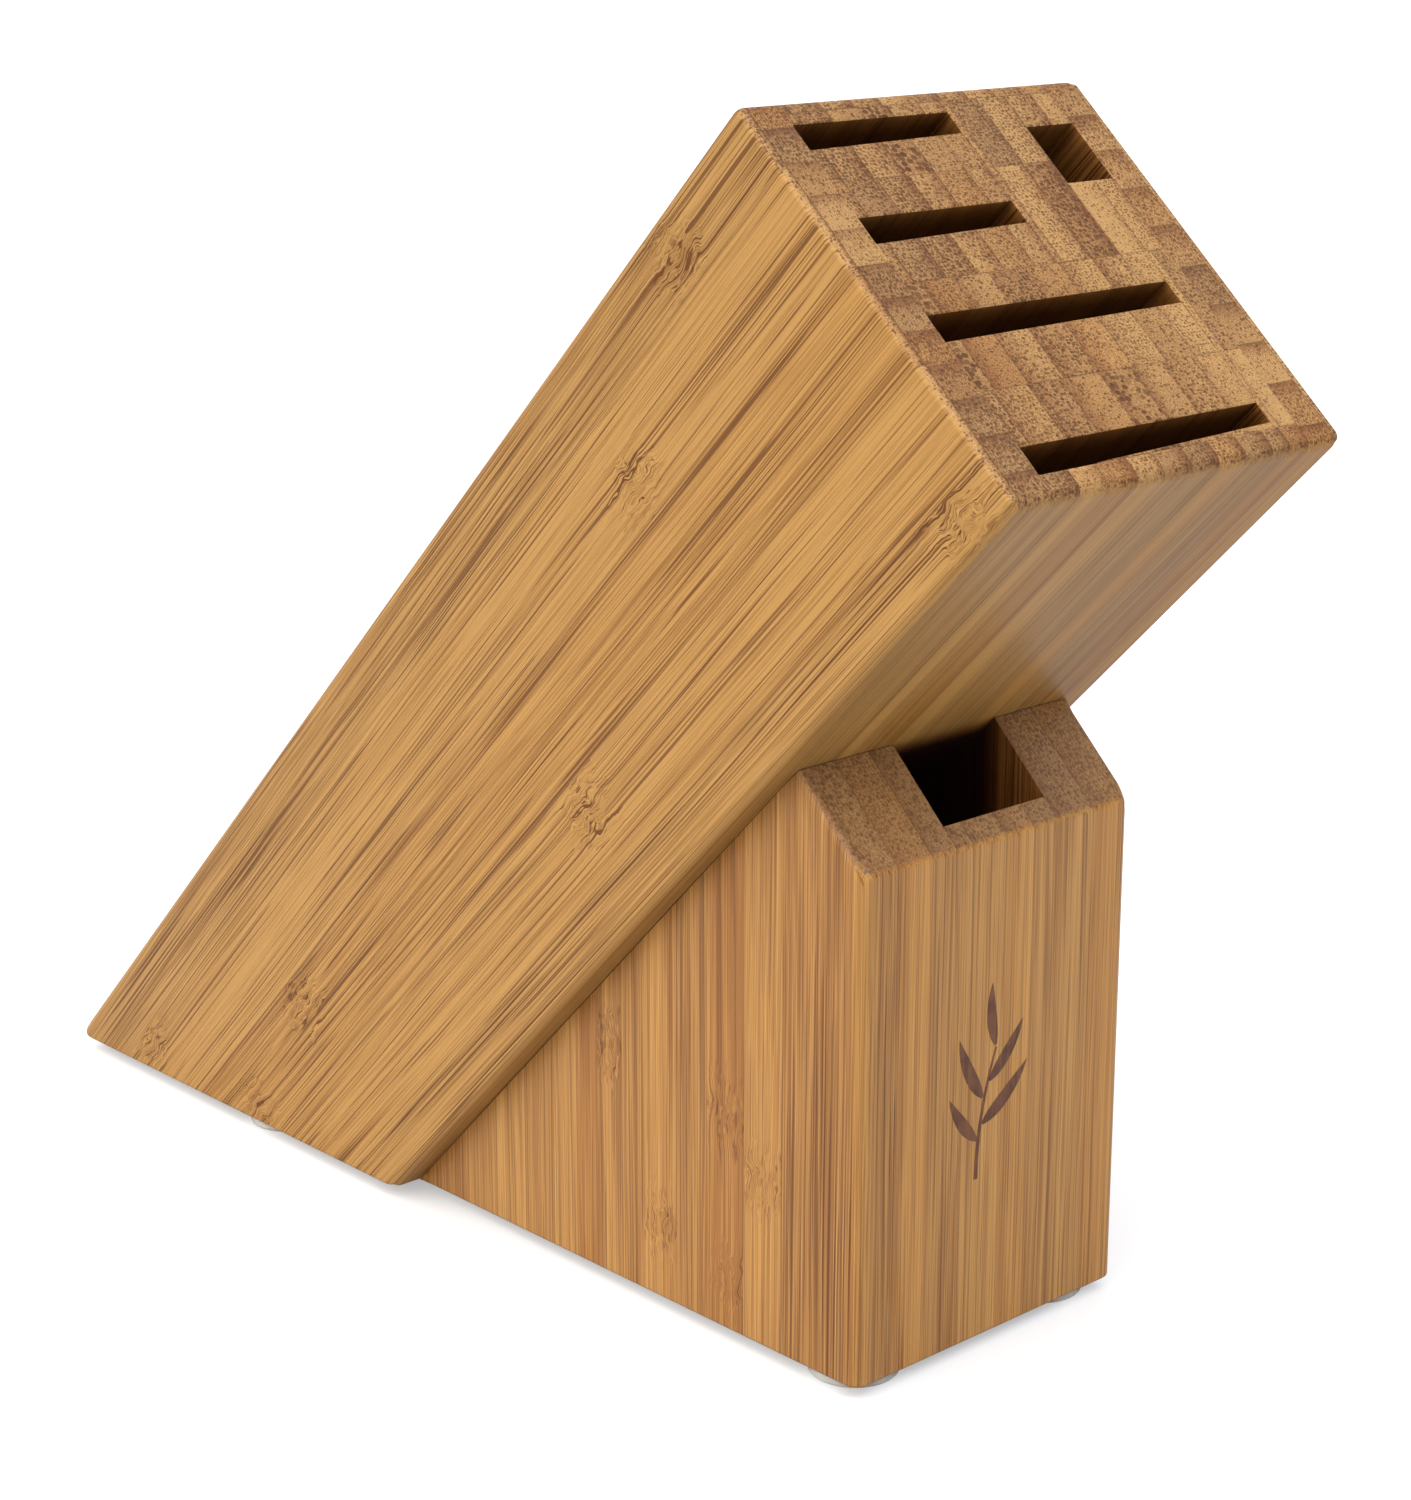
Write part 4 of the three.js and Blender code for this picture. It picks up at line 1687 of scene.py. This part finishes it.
@dataclass
class Studio:
    """A plain pale floor, soft lights and the camera. Lengths are in metres.

    The surround's light is slope_start plus the slopes times its direction, all times ambient.
    """

    lens: float = 76.05
    sensor: float = 36.0
    nearest: float = 0.02
    farthest: float = 50.0
    eye: tuple[float, float, float] = (-0.4259, -0.4874, 0.2859)
    azimuth: float = math.radians(42.78)
    tilt: float = math.radians(16.16)
    floor_radius: float = 9.0
    floor_middle: float = 0.02
    floor_rings: int = 24
    floor_around: int = 96
    floor_grey: float = 0.58
    floor_roughness: float = 0.9
    floor_glow: float = 0.42
    ambient: float = 0.85
    slope_start: float = 0.40
    slopes: tuple[float, float, float] = (-0.15, 0.30, 0.95)
    surround: float = 1.1
    surround_colour: tuple[float, float, float] = (0.975, 0.99, 1.03)
    key: Lamp = Lamp("key", (-0.66, -0.10, 0.90), 0.80, 80.0, (1.0, 0.95, 0.88))
    fill: Lamp = Lamp("fill", (0.10, -0.64, 0.77), 0.22, 20.0, (0.84, 0.94, 1.16))

    def camera(self) -> None:
        """Stands the camera up and makes it the scene's."""
        data = bpy.data.cameras.new("camera")
        data.lens, data.sensor_width = self.lens, self.sensor
        data.clip_start, data.clip_end = self.nearest, self.farthest
        camera = bpy.data.objects.new("camera", data)
        camera.location = self.eye
        forward = Vector((math.sin(self.azimuth) * math.cos(self.tilt),
                          math.cos(self.azimuth) * math.cos(self.tilt), -math.sin(self.tilt)))
        camera.rotation_euler = forward.to_track_quat("-Z", "Y").to_euler()
        bpy.context.scene.collection.objects.link(camera)
        bpy.context.scene.camera = camera

    def floor(self) -> None:
        """A flat disc: rings whose radius grows as the square of their number. It is clear from below."""
        rings = np.linspace(self.floor_middle, 1, self.floor_rings) ** 2 * self.floor_radius
        turn = np.linspace(0, 2 * math.pi, self.floor_around, endpoint=False)
        x, y = rings[:, None] * np.cos(turn), rings[:, None] * np.sin(turn)
        points = np.stack(np.broadcast_arrays(x, y, 0.0), -1)
        n = np.arange(x.size).reshape(x.shape)
        after = np.roll(n, -1, 1)
        quads = np.stack([n[:-1], n[1:], after[1:], after[:-1]], -1).reshape(-1, 4).tolist()
        mesh = bpy.data.meshes.new("floor")
        mesh.from_pydata(points.reshape(-1, 3).tolist(), [], quads + [n[0].tolist()])
        floor = bpy.data.objects.new("floor", mesh)
        bpy.context.scene.collection.objects.link(floor)
        material, graph, shader = open_finish("pale floor")
        seen = graph.put("LightPath").outputs["Is Camera Ray"]
        graph.feed(shader, {
            "Base Color": (self.floor_grey, self.floor_grey, self.floor_grey, 1.0),
            "Roughness": self.floor_roughness,
            "Emission Color": (1.0, 1.0, 1.0, 1.0),
            "Emission Strength": graph.times(seen, self.floor_glow),
        })
        clear = graph.put("BsdfTransparent").outputs[0]
        back = graph.put("NewGeometry").outputs["Backfacing"]
        both = graph.put("MixShader", {0: back, 1: shader.outputs[0], 2: clear}).outputs[0]
        graph.feed(graph.tree.nodes["Material Output"], {"Surface": both})
        mesh.materials.append(material)

    def sky(self) -> None:
        """A white surround that gives an even light, and is pure white to the camera."""
        world = bpy.data.worlds.new("studio")
        world.use_nodes = True
        graph = Graph(world.node_tree)
        seen = graph.put("LightPath").outputs["Is Camera Ray"]
        toward = graph.parts(graph.put("TexCoord").outputs["Generated"])
        slope = graph.total(self.slope_start, *zip(toward, self.slopes))
        strength = graph.ramp(seen, 0.0, 1.0, graph.times(slope, self.ambient), self.surround)
        graph.feed(graph.tree.nodes["Background"],
                   {"Color": (*self.surround_colour, 1.0), "Strength": strength})
        bpy.context.scene.world = world

    def build(self) -> None:
        """Sets the whole studio up."""
        self.camera()
        self.floor()
        self.key.hang()
        self.fill.hang()
        self.sky()
        bpy.context.scene.view_settings.view_transform = "Standard"
        bpy.context.scene.view_settings.look = "None"


# ---------------------------------------------------------------- everything


def main() -> None:
    """Builds the object and its studio."""
    logging.basicConfig(level=logging.INFO, format="%(message)s")
    Studio().build()
    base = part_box("support_left_2")[0] / MM
    block, support = LeaningBlock(base), Support(base)
    groups = (FibreField().group(), Knuckle().group(), Seam().group())
    along = (0.0, -math.cos(LEAN), math.sin(LEAN))
    through = (0.0, math.sin(LEAN), math.cos(LEAN))
    pocket = Pocket(*support.pocket())
    outer = BambooFinish("golden bamboo", along, through, pocket=pocket).build(*groups)
    core = BambooFinish("core bamboo", along, through, skin_end=0.42).build(*groups)
    upright = BambooFinish("support bamboo", (0.0, 0.0, 1.0), (0.0, 1.0, 0.0), pale="c8954f",
                           deep="99652e", end_pale="b08856", end_deep="7d5531", end_bundle="68452a",
                           thread_share=0.32, ribbon=0.12, strands=0.72, calm=0.8, skin_end=0.42,
                           coat=0.34, shadow=0.05, shadow_depth=12.5).build(*groups)

    for number, board in enumerate(block.side_layers() + block.cross_layers()):
        mesh = block.build(board, np.random.default_rng(BLOCK_SEED + number))
        inside = board.name.startswith(("core", "steel"))
        finish, slot = (core, "bamboo_core") if inside else (outer, "bamboo_outer")
        add_piece(mesh, finish, None if board.name == LIP else board.name)

    for number, board in enumerate(support.layers()):
        mesh = support.build(board, np.random.default_rng(SUPPORT_SEED + number))
        add_piece(mesh, upright, board.name)

    rubber = ClearRubberFinish().build()
    for name in ("foot_front_left", "foot_front_right", "foot_rear_left", "foot_rear_right"):
        low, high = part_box(name)
        middle = (low + high) / (2 * MM)
        mesh = Feet(high.z / MM).build(f"{name}_bumper", middle.x, middle.y)
        add_piece(mesh, rubber, name)

    add_piece(LeafMark(support).build(), BurnFinish().build(), None)


if __name__ == "__main__":
    main()
